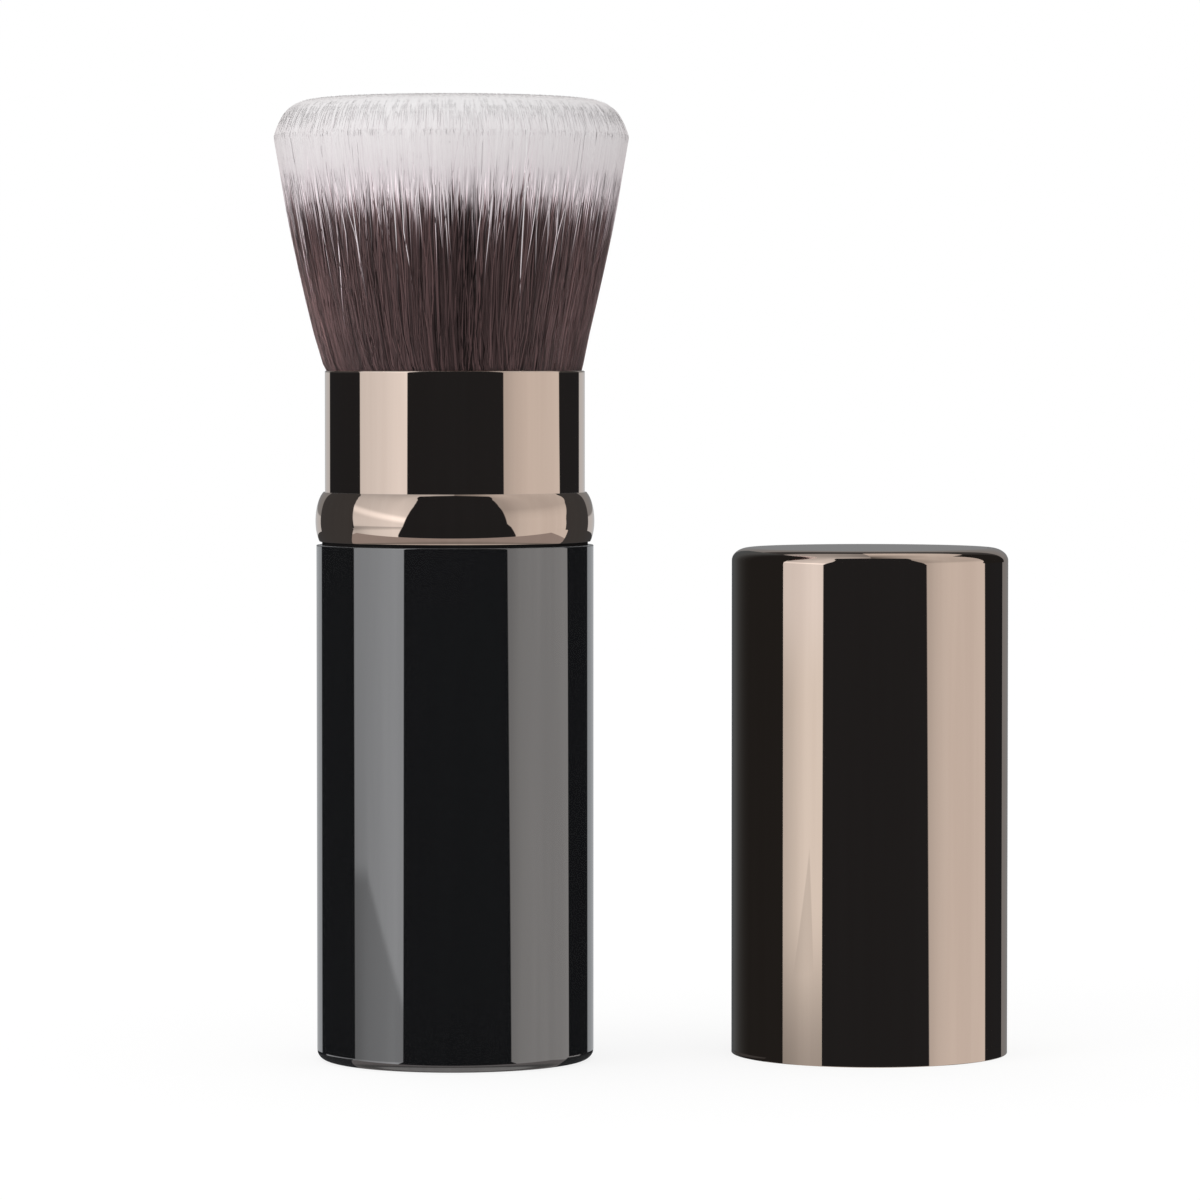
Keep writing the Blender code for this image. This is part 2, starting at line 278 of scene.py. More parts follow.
# %% Lathe rings group
def make_lathe_rings():
    group, start, end = new_effect("lathe_rings", {"Rings": 5000.0}, ("Tone", "Height"))
    x, y, z = add_node(group, "SeparateXYZ", {0: own_place(group)}).outputs
    flat = add_node(group, "CombineXYZ", {0: x, 1: y})
    reach = add_node(group, "VectorMath", {0: flat.outputs[0]}, operation="LENGTH")
    ring = math_node("ADD", reach.outputs["Value"], z)
    inputs = {"W": ring, "Scale": start.outputs["Rings"], "Detail": 2.0}
    rings = add_node(group, "TexNoise", inputs, noise_dimensions="1D").outputs["Fac"]
    feed(end, dict(Tone=rings, Height=rings))
    return group


lathe_rings = make_lathe_rings()
print("shared effects:", [group.name for group in bpy.data.node_groups])

# %% [markdown]
# ## The two polished finishes
# The sleeve, the bead and the cap are aluminium plated in rose gold, and the handle tube has a
# black mirror coat. Both mirror the studio sharply, so what matters is the colour of the mirror,
# a very low roughness and faint faults in it. The black coat isn't a plain dark plastic: it
# reflects about a quarter of the light, as black nickel does, so it is made as a dark metal.


# %% Polished finishes
def new_material(name, metallic, roughness):
    material = bpy.data.materials.new(name)
    material.use_nodes = True
    tree = material.node_tree
    return material, tree, feed(tree.nodes["Principled BSDF"], {"Metallic": metallic, "Roughness": roughness})


def polished_metal(name, dark, light, worn, metallic, smooth, smudged, wear):
    """A mirror finish between two close colours, with polish lines, smudges and worn lips."""
    material, tree, shader = new_material(name, metallic, smooth)
    lines = use_effect(tree, drawn_lines)
    smudges = use_effect(tree, handling_marks, Cover=0.42)["Mask"]
    rubbed = use_effect(tree, worn_edges, Amount=wear)["Mask"]
    clean = blend_colours(ramp(lines["Tone"], 0.3, 0.7), (*dark, 1), (*light, 1))
    colour = blend_colours(rubbed, clean, (*worn, 1))
    duller = math_node("ADD", times(rubbed, 0.16), times(smudges, smudged - smooth))
    dull = math_node("ADD", duller, smooth)
    normal = bumpy(lines["Height"], 0.02, 0.02 * mm)
    feed(shader, {"Base Color": colour, "Roughness": dull, "Normal": normal})
    return material


rose_gold_plate = polished_metal(
    "rose_gold_plate", (0.83, 0.672, 0.572), (0.88, 0.722, 0.617), (0.92, 0.80, 0.71),
    metallic=1.0, smooth=0.02, smudged=0.035, wear=0.6,
)
black_mirror_coat = polished_metal(
    "black_mirror_coat", (0.262, 0.262, 0.265), (0.288, 0.288, 0.29), (0.33, 0.33, 0.33),
    metallic=0.985, smooth=0.02, smudged=0.035, wear=0.5,
)
print("polished finishes:", rose_gold_plate.name, black_mirror_coat.name)

# %% [markdown]
# ## The plain working materials
# Everything inside is moulded plastic, turned steel, spun aluminium, soft silicone or set glue.
# Nobody sees much of it, but a viewer who takes the model apart does, so each gets its own
# texture from the shared effects instead of one flat colour.


# %% Working materials
def grained_finish(name, effect, dark, light, metallic, roughness, spread, bump_depth):
    """A colour between two tones and a roughness that both follow one effect, with its bump."""
    material, tree, shader = new_material(name, metallic, roughness)
    texture = use_effect(tree, effect)
    tone = ramp(texture["Tone"], 0.3, 0.7)
    colour = blend_colours(tone, (*dark, 1), (*light, 1))
    dull = ramp(tone, 0, 1, roughness - spread, roughness + spread)
    normal = bumpy(texture["Height"], 0.4, bump_depth * mm)
    feed(shader, {"Base Color": colour, "Roughness": dull, "Normal": normal})
    return material


# Effect, dark tone, light tone, metallic, roughness, its spread, and the bump's depth in mm.
working_looks = {
    "moulded_black_plastic": (
        moulded_grain, (0.016, 0.016, 0.017), (0.028, 0.028, 0.029), 0, 0.5, 0.08, 0.02,
    ),
    "black_seam_and_painted_shade": (moulded_grain, (0.010, 0.009, 0.009), (0.016, 0.015, 0.015), 0, 0.85, 0.08, 0.02),
    "moulded_white_plastic": (moulded_grain, (0.70, 0.70, 0.67), (0.80, 0.80, 0.78), 0, 0.45, 0.06, 0.02),
    "turned_steel": (lathe_rings, (0.48, 0.49, 0.50), (0.62, 0.63, 0.64), 1, 0.32, 0.08, 0.01),
    "spun_aluminium": (lathe_rings, (0.74, 0.75, 0.76), (0.86, 0.87, 0.88), 1, 0.28, 0.07, 0.01),
    "soft_silicone": (moulded_grain, (0.62, 0.64, 0.65), (0.76, 0.78, 0.78), 0, 0.58, 0.06, 0.02),
    "set_glue": (moulded_grain, (0.44, 0.27, 0.09), (0.62, 0.42, 0.18), 0, 0.24, 0.08, 0.03),
}
working = {name: grained_finish(name, *look) for name, look in working_looks.items()}
# The seam plastic is the liner's black made darker and almost without gloss: it paints the shade in the
# bead's groove.
black_plastic, groove_black_and_painted_shade = working["moulded_black_plastic"], working["black_seam_and_painted_shade"]
feed(groove_black_and_painted_shade.node_tree.nodes["Principled BSDF"], {"Specular IOR Level": 0.05})

inner_pieces = {
    "moulded_black_plastic": ("handle_liner", "base_plug", "slide_carrier"),
    "moulded_white_plastic": ("center_post", "head_holder"),
    "turned_steel": ("base_weight", "post_screw", "head_screw"),
    "spun_aluminium": ("head_cup",),
    "soft_silicone": ("low_stop_ring", "high_stop_ring", "friction_ring"),
    "set_glue": ("bristle_glue",),
}
for finish, names in inner_pieces.items():
    for name in names:
        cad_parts[name].material_slots[0].material = working[finish]
print("inner pieces finished:", sum(len(names) for names in inner_pieces.values()))


# %% [markdown]
# ## How a turned skin is made
# A tube, a bead and a cap are all one outline spun round an axis. The outline is a list of
# (radius, height, edge) points; edge says how much the point sits on a lip or a corner. Spinning
# it in many fine steps gives a true round silhouette, which polished metal needs, because every
# facet would break the reflections. The mesh is made from rings of points, so that two outline
# points on the axis don't leave a fan of needle triangles with a hole.


# %% Spin an outline
turn_steps, sharp_from = 192, 38


def spin_outline(name, outline, material, centre=(0, 0), closed=True, second=None, second_rows=()):
    """A round piece from its outline. second and second_rows give some rows another material."""
    turn = np.arange(turn_steps) * math.tau / turn_steps
    points, rows, edges = [], [], []
    for radius, height, edge in outline:
        start = len(points)
        if radius > 0:
            for angle in turn:
                x, y = radius * math.cos(angle), radius * math.sin(angle)
                points.append((centre[0] + x, centre[1] + y, height))
            rows.append(list(range(start, start + turn_steps)))
            edges += [edge] * turn_steps
        else:
            points.append((*centre, height))
            rows.append([start] * turn_steps)
            edges.append(edge)
    faces, kinds = [], []
    pairs = [(row, row + 1) for row in range(len(rows) - 1)]
    if closed:
        pairs.append((len(rows) - 1, 0))
    for upper, lower in pairs:
        for n in range(turn_steps):
            after = (n + 1) % turn_steps
            ring = [rows[upper][n], rows[lower][n], rows[lower][after], rows[upper][after]]
            faces.append(list(dict.fromkeys(ring)))
            kinds.append(1 if upper in second_rows else 0)
    mesh = bpy.data.meshes.new(name)
    mesh.from_pydata(points, [], faces)
    mesh.materials.append(material)
    if second:
        mesh.materials.append(second)
        mesh.polygons.foreach_set("material_index", kinds)
    mesh.shade_smooth()
    mesh.set_sharp_from_angle(angle=math.radians(sharp_from))
    mesh.attributes.new("edge", "FLOAT", "POINT").data.foreach_set("value", edges)
    return add_object(name, mesh)


def arc(radius, height, half_sizes, turn, count, edge=1.0):
    """Points of part of an oval round a place, between two angles from +X towards +Z."""
    (width, rise), (start, end) = half_sizes, turn
    points = []
    for n in range(count + 1):
        angle = math.radians(start + (end - start) * n / count)
        points.append((radius + width * math.cos(angle), height + rise * math.sin(angle), edge))
    return points


def dress(piece, body, slot_name, *nodes):
    """Tie a skin to its body and hide the solids that it stands for. slot_name, the record's finish, is not
    used.
    """
    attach(piece, body)
    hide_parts(*nodes)
    print(f"{piece.name}: {len(piece.data.polygons)} faces on {body}, in place of {', '.join(nodes)}")
    return piece


# %% [markdown]
# ## The black handle tube
# The tube is drawn in one piece with its floor, so its base corner is a small even round. The
# open end is only sheared and tumbled, which leaves a fine round lip. That lip catches the light
# as one thin line below the bead, so it is modelled and not left to a bump.

# %% Build the handle tube
base_round, lip_round = 1.15 * mm, 0.08 * mm
support = 0.05 * mm
floor_top = metal_wall + 0.6 * mm
inner_round = base_round - metal_wall
handle_bore = handle_radius - metal_wall
lip_height = handle_top - lip_round

outline = [(0, floor_top, 0.0), (handle_bore - inner_round, floor_top, 0.0)]
outline += arc(
    handle_bore - inner_round, floor_top + inner_round, (inner_round, inner_round), (-90, 0), 6, 0.0
)[1:]
outline += [(handle_bore, lip_height, 0.6)]
outline += arc(handle_bore + lip_round, lip_height, (lip_round, lip_round), (180, 90), 4)[1:]
outline += arc(handle_radius - lip_round, lip_height, (lip_round, lip_round), (90, 0), 4)
outline += [(handle_radius, lip_height - support, 0.0), (handle_radius, base_round + support, 0.0)]
outline += arc(handle_radius - base_round, base_round, (base_round, base_round), (0, -90), 14, 0.75)
outline += [(handle_radius - base_round - 0.5 * mm, 0, 0.3), (0, 0, 0.0)]
handle_tube = spin_outline("handle_tube", outline, black_mirror_coat, closed=False)
dress(handle_tube, "handle", "black_lacquer", "handle_shell")

# %% [markdown]
# ## The bead collar
# The bead swells out over the tube and closes in again on the sleeve. Its side is two quarter
# ovals that meet at the widest line, with the upper one taller. A narrow groove under the foot
# keeps it clear of the tube; down there the black liner shows, so those rows of the outline get a
# black plastic made darker and duller than the liner, which paints the shade in the groove. The
# skirt below is pressed into the tube and is plain.

# %% Build the bead
bead_foot, bead_top = handle_top + 0.1 * mm, collar_high.z
widest_share = 0.44
widest = bead_foot + widest_share * (bead_top - bead_foot)
groove_height, groove_depth = 0.34 * mm, 0.15 * mm
sleeve_gap = 0.12 * mm
bead_bore = sleeve_radius + sleeve_gap
skirt_radius = handle_bore - 0.1 * mm


def quarter(end_height, end_radius, reach, count):
    """Points of a quarter oval from the widest line to its end, which stops at a share of it."""
    bulge = (bead_radius - end_radius) / (1 - math.sqrt(1 - reach**2))
    points = []
    for n in range(count + 1):
        way = n / count
        fall = bulge * (1 - math.sqrt(1 - (reach * way) ** 2))
        points.append((bead_radius - fall, widest + (end_height - widest) * way, 0.15))
    return points


upper = quarter(bead_top - 0.04 * mm, bead_bore + 0.1 * mm, 0.905, 20)
lower = quarter(bead_foot + groove_height, skirt_radius + 0.16 * mm, 0.74, 16)
outline = [(bead_bore, bead_top - 0.06 * mm, 1.0), (bead_bore + 0.03 * mm, bead_top, 1.0)]
outline += [(bead_bore + 0.07 * mm, bead_top - 0.005 * mm, 1.0)]
outline += upper[::-1] + lower[1:]
foot_radius, foot_height, _ = outline[-1]
groove_radius = skirt_radius - groove_depth
outline += [(foot_radius - 0.05 * mm, foot_height - 0.04 * mm, 1.0)]
outline += [(foot_radius - 0.14 * mm, foot_height - 0.05 * mm, 0.6)]
groove_row = len(outline)
outline += [(groove_radius, foot_height - 0.05 * mm, 0.0), (groove_radius, bead_foot - 0.3 * mm, 0.0)]
outline += [(skirt_radius, bead_foot - 0.5 * mm, 0.0), (skirt_radius, collar_low.z, 0.2)]
outline += [(bead_bore, collar_low.z, 0.2)]
bead_collar = spin_outline(
    "bead_collar", outline, rose_gold_plate, second=groove_black_and_painted_shade, second_rows=(groove_row - 1, groove_row)
)
dress(bead_collar, "handle", "rose_gold", "collar_ring")

# %% [markdown]
# ## The sliding sleeve
# The sleeve is a plain tube, and its only shape is the lip that meets the bristles. The lip is a
# full half round of the wall, smooth enough to slide over the fibres without cutting them.

# %% Build the sleeve
sleeve_bore, half_wall = sleeve_radius - metal_wall, metal_wall / 2
below_lip = sleeve_top - half_wall - support
outline = arc(sleeve_radius - half_wall, sleeve_top - half_wall, (half_wall, half_wall), (180, 0), 12)
outline += [(sleeve_radius, below_lip, 0.0), (sleeve_radius, sleeve_low.z, 0.0)]
outline += [(sleeve_bore, sleeve_low.z, 0.0), (sleeve_bore, below_lip, 0.0)]
slide_sleeve = spin_outline("slide_sleeve", outline, rose_gold_plate)
dress(slide_sleeve, "sleeve", "rose_gold", "sliding_sleeve")

# %% [markdown]
# ## The cap and its lining
# The cap is deep drawn, so its top corner is a soft oval, a little wider than it is high, and its
# open rim is cut square with a tiny bevel. Inside sits a black plastic lining that grips the
# raised sleeve.

# %% Build the cap
corner = corner_width, corner_height = 2.1 * mm, 1.5 * mm
rim_bevel = 0.06 * mm
cap_top, roof = cap_high.z, cap_high.z - metal_wall
cap_bore = cap_radius - metal_wall
middle = (cap_centre.x, cap_centre.y)

outline = [(0, cap_top, 0.0), (cap_radius - corner_width - support, cap_top, 0.0)]
outline += arc(cap_radius - corner_width, cap_top - corner_height, corner, (90, 0), 18, 0.35)
outline += [(cap_radius, cap_top - corner_height - support, 0.0), (cap_radius, rim_bevel + support, 0.0)]
outline += [(cap_radius, rim_bevel, 1.0), (cap_radius - rim_bevel, 0, 1.0), (cap_bore + rim_bevel, 0, 1.0)]
outline += [(cap_bore, rim_bevel, 0.6)]
outline += arc(cap_bore - corner_width, roof - corner_height, corner, (0, 90), 8, 0.0)
outline += [(0, roof, 0.0)]
cap_body = spin_outline("cap_body", outline, rose_gold_plate, middle, closed=False)
dress(cap_body, "cap", "rose_gold", "cap_shell")

lining_low, lining_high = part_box("cap_liner")
lining_radius = (lining_high.x - lining_low.x) / 2
lining_bore = sleeve_radius + sleeve_gap
ceiling = lining_high.z - 0.8 * mm
mouth_bevel, ceiling_bevel = 0.2 * mm, 0.4 * mm
outline = [(0, lining_high.z, 0.0)]
outline += arc(lining_radius - corner_width, lining_high.z - corner_height, corner, (90, 0), 8, 0.0)
outline += [(lining_radius, lining_low.z, 0.0), (lining_bore + mouth_bevel, lining_low.z, 0.5)]
outline += [(lining_bore, lining_low.z + mouth_bevel, 0.0), (lining_bore, ceiling - ceiling_bevel, 0.0)]
outline += [(lining_bore - ceiling_bevel, ceiling, 0.0), (0, ceiling, 0.0)]
cap_lining = spin_outline("cap_lining", outline, black_plastic, middle, closed=False)
dress(cap_lining, "cap", "black_plastic", "cap_liner")


# %% [markdown]
# ## The finish of the fibres
# Each synthetic fibre is dyed dark brown and its end is left white. The dye line isn't level: it
# lies higher on one fibre and lower on the next, so white streaks run down into the brown. Every
# point of the mesh carries its distance from its own fibre's dye line in millimetres, and a
# colour ramp turns that distance into brown, a pinkish change-over and a white that grows lighter
# up to the tips. A second number makes each fibre a little lighter or darker than its neighbours.
# On the crown only the cut ends show, so a cell pattern as fine as the fibres sinks the gaps
# between them with a bump and paints them up to 7% darker, a painted shade. Loose fine fibres
# catch light where they are seen edge-on, and the shader's own sheen gives that.

# %% Fibre finish
dye_from, dye_to = -5.0, 15.0
cut_ends_scale = 4300.0
dye_tones = {
    0.0: (0.052, 0.0290, 0.0290),
    0.20: (0.062, 0.0360, 0.0365),
    0.25: (0.30, 0.235, 0.25),
    0.30: (0.62, 0.55, 0.575),
    0.385: (0.70, 0.637, 0.66),
    0.51: (0.745, 0.70, 0.713),
    0.625: (0.79, 0.75, 0.76),
    0.80: (0.86, 0.84, 0.845),
    0.95: (0.915, 0.905, 0.91),
}


def dye_ramp(distance):
    """The colour at a distance in millimetres from the dye line."""
    inputs = {"Value": distance, "From Min": dye_from, "From Max": dye_to}
    way = add_node(distance.id_data, "MapRange", inputs).outputs[0]
    dye = add_node(distance.id_data, "ValToRGB", {"Fac": way})
    elements = dye.color_ramp.elements
    first, *between, last = dye_tones
    elements[0].position, elements[0].color = first, (*dye_tones[first], 1)
    elements[1].position, elements[1].color = last, (*dye_tones[last], 1)
    for position in between:
        elements.new(position).color = (*dye_tones[position], 1)
    return dye.outputs["Color"]


def make_fibre_finish():
    material, tree, shader = new_material("two_tone_fibre", 0, 0.42)
    feed(shader, {"Specular IOR Level": 0.35, "Sheen Weight": 0.3, "Sheen Roughness": 0.35})
    feed(shader, {"Sheen Tint": (1.0, 0.88, 0.86, 1)})
    distance = add_node(tree, "Attribute", attribute_name="dye_distance").outputs["Fac"]
    shade = add_node(tree, "Attribute", attribute_name="fibre_shade").outputs["Fac"]
    whiteness = ramp(distance, -0.5, 3.5)
    evened = math_node("MINIMUM", times_plus(shade, 0.05, 0.955), 1.04)
    shade = choose(whiteness, shade, evened)
    inputs = {"Vector": own_place(tree), "Scale": cut_ends_scale}
    ends = add_node(tree, "TexVoronoi", inputs).outputs["Distance"]
    # Painted shade: the gaps between the crown's cut ends are darkened as well as dented.
    gap_bump_and_painted_shade = times(ramp(ends, 0.25, 0.65), ramp(distance, 11.9, 12.35))
    shade = times(shade, times_plus(gap_bump_and_painted_shade, -0.07, 1.0))
    colour = blend_colours(1.0, dye_ramp(distance), grey_of(shade), "MULTIPLY")
    dull = ramp(whiteness, 0, 1, 0.34, 0.6)
    feed(shader, {"Base Color": colour, "Roughness": dull, "Normal": bumpy(less(gap_bump_and_painted_shade), 0.35, 0.03 * mm)})
    return material


two_tone_fibre = make_fibre_finish()

# %% [markdown]
# ## The shape of the head
# The head is a bundle that leaves the sleeve at its lip, flares nearly straight and ends in a flat
# crown with a rounded shoulder. Two formulas hold all of it: how far out the skin of the bundle is
# at a height, and how high the trimmed crown is at a distance from the axis. A fibre then only
# needs its share of the way from the axis to the skin, and its direction.

# %% Head shape
mouth_radius = 14.72 * mm
root_height = sleeve_top - 0.6 * mm
shoulder_height = sleeve_top + 26.7 * mm
skin_radius = head_radius - 0.06 * mm
dye_height = sleeve_top + 18.8 * mm
flare_bow = 0.22
shoulder_drop, shoulder_power = 4.4 * mm, 16
crown_sag, crown_edge = 0.25 * mm, head_top - 0.23 * mm
pressed_aside = 0.38 * mm


def flare_at(height):
    """How far the flare opens at a height. Below the lip it draws in to clear the sleeve."""
    way = (height - sleeve_top) / (shoulder_height - sleeve_top)
    flare = mouth_radius + (skin_radius - mouth_radius) * (way + flare_bow * way * (1 - way))
    drawn_in = np.clip((sleeve_top + 0.15 * mm - height) / (0.6 * mm), 0, 1) * 0.42 * mm
    return np.minimum(flare, skin_radius) - drawn_in


def skin_at(height):
    """Radius of the bundle's skin at a height: the flare, and the rounded shoulder over it."""
    below = np.clip((crown_edge - height) / shoulder_drop, 0, 1)
    return np.minimum(flare_at(height), head_radius * below ** (1 / shoulder_power))


def crown_at(radius):
    """Height of the trimmed crown at a distance from the axis."""
    way = radius / head_radius
    return head_top - shoulder_drop * way**shoulder_power - crown_sag * way**2


def leaning(points):
    """The whole head leans a little to the left, as it was last pressed. Moves points (..., 3)."""
    way = 1 - np.exp(-np.maximum(points[..., 2] - sleeve_top + 0.5 * mm, 0) / (1.8 * mm))
    points[..., 0] -= pressed_aside * way
    return points


def away_from_axis(points):
    """Level directions of length 1 from the axis to each point, (n, 2)."""
    return points[:, :2] / np.maximum(np.linalg.norm(points[:, :2], axis=1, keepdims=True), 1e-9)


def bundle_normal(points):
    """Where the smooth skin of the whole head faces at each point's height, (n, 3)."""
    outward = away_from_axis(points)
    below = (crown_edge - points[:, 2:]) / shoulder_drop
    steep = shoulder_power * shoulder_drop / head_radius * below.clip(0, 1) ** (1 - 1 / shoulder_power)
    top = np.hstack([outward * steep, np.ones_like(below)])
    top /= np.linalg.norm(top, axis=1, keepdims=True)
    side = np.hstack([outward, np.full_like(below, -0.12)])
    under = (below - 1).clip(0, 1)
    under = under * under * (3 - 2 * under)
    facing = top * (1 - under) + side * under
    return facing / np.linalg.norm(facing, axis=1, keepdims=True)


skin_in_mm = [round(float(skin_at(height)) / mm, 2) for height in (sleeve_top, shoulder_height)]
print("skin at the lip and at the shoulder in mm:", skin_in_mm)

# %% [markdown]
# ## Fibres as fine tapered prisms
# Hair curves would be quick to make, but they have no solid mesh to keep. So every fibre is a
# three-sided prism that thins out to its tip, with smooth shading that makes it look round. Arrays
# of centre lines are turned into such prisms all at once, which takes a fraction of a second for
# thousands of them. A bundle of soft fibres scatters light as one body more than as single rods,
# so the shading normals lean towards those of the whole head, most of all where the fibres are
# white; there the prisms are flatter too. Each fibre also gets a column of its own in a UV map, so
# that a baked picture of the finish has room for every one.


# %% Prisms from centre lines
map_name = "OFBake"
dark_share, white_share = 0.55, 0.985
ridge_out, flank_out = 0.45, -0.15


def prism_skin(lines, half_widths, distance):
    """Corner points (fibres, rings, 3, 3) of the prisms, and where each is shaded to face."""
    fibres, rings, _ = lines.shape
    outward = away_from_axis(lines[:, -1])
    sideways = np.stack([-outward[:, 1], outward[:, 0]], 1)
    corners = np.empty((fibres, rings, 3, 3))
    facing = np.zeros((fibres, rings, 3, 3))
    ridge = half_widths * (1 - 0.72 * np.clip((distance + 1) / 4, 0, 1))
    for n, (out, across) in enumerate(((ridge_out, 0.0), (flank_out, 1.0), (flank_out, -1.0))):
        push = outward[:, None, :] * (out * ridge)[:, :, None]
        push = push + sideways[:, None, :] * (across * half_widths)[:, :, None]
        corners[:, :, n, :2] = lines[:, :, :2] + push
        corners[:, :, n, 2] = lines[:, :, 2]
        facing[:, :, n, :2] = (outward * (0.6 + out) + sideways * across * 0.8)[:, None, :]
    share = dark_share + (white_share - dark_share) * np.clip((distance + 2) / 5, 0, 1)
    share = np.repeat(share.ravel(), 3)[:, None]
    facing = share * bundle_normal(corners.reshape(-1, 3)) + (1 - share) * facing.reshape(-1, 3)
    return corners, facing


def prism_faces(fibres, rings):
    """The walls, and the root and tip ends, by the numbers of their corners."""
    first = np.arange(fibres)[:, None, None] * rings * 3
    here = first + np.arange(rings - 1)[None, :, None] * 3
    side, after = np.arange(3), (np.arange(3) + 1) % 3
    walls = np.stack([here + side, here + after, here + 3 + after, here + 3 + side], 3)
    start = np.arange(fibres)[:, None] * rings * 3
    roots = start + np.array([2, 1, 0])
    tips = start + (rings - 1) * 3 + np.array([0, 1, 2])
    return walls.reshape(-1, 4), np.concatenate([roots, tips])


def prism_map(columns, rings):
    """UV places of the walls and of the ends, in each fibre's own (left, bottom, width, height)."""
    left, bottom, width, height = columns.T
    low = bottom[:, None] + height[:, None] * np.arange(rings - 1) / rings
    high = bottom[:, None] + height[:, None] * np.arange(1, rings) / rings
    right = left + width
    walls = []
    for from_side, to_side in ((left, right), (right, right - 0.1 * width), (right, left)):
        box = np.stack(np.broadcast_arrays(from_side[:, None], low, to_side[:, None], high), 2)
        walls.append(np.stack([box[..., [0, 1]], box[..., [2, 1]], box[..., [2, 3]], box[..., [0, 3]]], 2))
    ends = []
    root_top, tip_bottom = bottom + height / rings, bottom + height * (rings - 1) / rings
    for lower, upper in ((bottom, root_top), (tip_bottom, bottom + height)):
        box = np.stack([left, lower, right, upper], 1)
        ends.append(np.stack([box[:, [0, 1]], box[:, [2, 1]], box[:, [2, 3]]], 1))
    return np.stack(walls, 2).reshape(-1, 4, 2), np.concatenate(ends)


def prisms(lines, half_widths, dye_heights, dye_speeds, shades, columns):
    """Points, faces and numbers of one closed prism for each centre line.

    lines is (fibres, rings, 3), half_widths (fibres, rings) and the rest (fibres,). A dye speed
    of 1 is a short change from brown to white, and less makes it longer.
    """
    fibres, rings, _ = lines.shape
    distance = (lines[:, :, 2] - dye_heights[:, None]) / mm * dye_speeds[:, None]
    corners, facing = prism_skin(lines, half_widths, distance)
    quads, triangles = prism_faces(fibres, rings)
    quad_map, triangle_map = prism_map(columns, rings)
    return {
        "points": corners.reshape(-1, 3).tolist(),
        "facing": facing.tolist(),
        "faces": (quads, triangles),
        "corner_map": list(quad_map) + list(triangle_map),
        "distance": (distance[:, :, None] + np.array([1.1, -0.8, -0.8])).ravel().tolist(),
        "shade": np.repeat(shades, rings * 3).tolist(),
    }


def column_grid(count, rows, bottom, top):
    """UV boxes for count fibres in rows rows between two heights of the map."""
    across = math.ceil(count / rows)
    spot = np.arange(count)
    row_height = (top - bottom) / rows
    left = (spot % across + 0.1) / across
    low = bottom + (spot // across + 0.02) * row_height
    return np.stack([left, low, np.full(count, 0.8 / across), np.full(count, 0.96 * row_height)], 1)


# %% [markdown]
# ## Laying out the fibres
# The outer fibres run the whole height and make the flared side. They come in layers: one that
# closes the skin, one right under it, and on top of them the strays, pale ones and brown ones. A
# stray lies right on the skin, is finer than the others and crosses them at a small angle, in a
# slight curve. The crown is filled by many short tips set in a sunflower spiral, which spreads
# points evenly over a disc without rows or rings. They stand a hair above the trim in the middle
# and end just under it at the shoulder, where the side fibres take over.

# %% Centre lines
random = np.random.default_rng(41)
layers = {
    "skin": {"count": 1500, "share": (0.9935, 0.9995), "thick": (0.07, 0.10), "lean": 0.016, "wave": 0.006},
    "under": {"count": 560, "share": (0.978, 0.992), "thick": (0.08, 0.11), "lean": 0.02, "wave": 0.008},
    "pale strays": {
        "count": 360, "share": (1.002, 1.0065), "thick": (0.042, 0.066), "lean": 0.085, "wave": 0.011,
    },
    "brown strays": {
        "count": 560, "share": (0.9975, 1.0025), "thick": (0.055, 0.085), "lean": 0.06, "wave": 0.013,
    },
}
side_count = sum(layer["count"] for layer in layers.values())
side_layer = np.repeat(np.array(list(layers)), [layer["count"] for layer in layers.values()])
crown_count, crown_way = 7800, np.array([0, 0.9, 1.0])
side_way = np.array([0, 0.023, 0.05, 0.18, 0.32, 0.46, 0.60, 0.74, 0.88, 1.0])
shoulder_way = np.array([0.25, 0.45, 0.65, 0.82, 0.93, 1.0])
bend_height = head_top - 5.2 * mm
golden_turn, golden_angle = 0.61803399, 2.39996323


def layer_value(name):
    """One number of each fibre's layer, for all side fibres."""
    return np.array([layers[layer][name] for layer in side_layer])


def side_fibres():
    """Centre lines, half widths, shares of the skin's radius and directions of the side fibres."""
    low, high = layer_value("share").T
    share = low + (high - low) * random.random(side_count)
    angle = (np.arange(side_count) * golden_turn % 1) * math.tau
    lean = random.normal(0, 1, side_count) * layer_value("lean")
    bow = random.normal(0, 0.5, side_count) * layer_value("lean")
    tip_height = head_top - random.uniform(0.8, 4.7, side_count) * mm
    straight = root_height + (bend_height - root_height) * side_way
    straight = np.broadcast_to(straight, (side_count, len(side_way)))
    heights = np.hstack([straight, bend_height + (tip_height - bend_height)[:, None] * shoulder_way])
    way = (heights[0] - root_height) / (heights[0, -1] - root_height)
    start, pitch = random.random((2, side_count, 1))
    swell = np.sin(math.pi * way.clip(0, 0.97)) ** 0.5
    wave = np.sin(math.tau * ((0.7 + 1.3 * pitch) * way + start)) * swell
    stray = (side_layer == "pale strays") | (side_layer == "brown strays")
    dive = np.where(stray, 0.006, 0.05)[:, None] * mm * (1 + np.cos(math.tau * ((0.9 + pitch) * way + start)))
    dive = dive * swell * np.clip((sleeve_top + 21 * mm - heights) / (6 * mm), 0.15, 1)
    flush = np.clip((heights - dye_height + 0.5 * mm) / (4 * mm), 0, 1) * 0.97
    reach = (share[:, None] + (1 - share[:, None]) * flush) * skin_at(heights) - dive * (1 - flush)
    turn = angle[:, None] + lean[:, None] * (way - 0.5) * np.clip(way / 0.12, 0, 1)
    turn = turn + bow[:, None] * way * (1 - way) * 4 + layer_value("wave")[:, None] * wave * 1.3
    lines = np.stack([reach * np.cos(turn), reach * np.sin(turn), heights], 2)
    low, high = layer_value("thick").T
    thick = (low + (high - low) * random.random(side_count)) * mm
    taper = np.interp(way, [0, 0.3, 0.7, 0.92, 1.0], [0.92, 0.92, 1.1, 1.05, 0.2])
    return leaning(lines), thick[:, None] * taper, share, angle


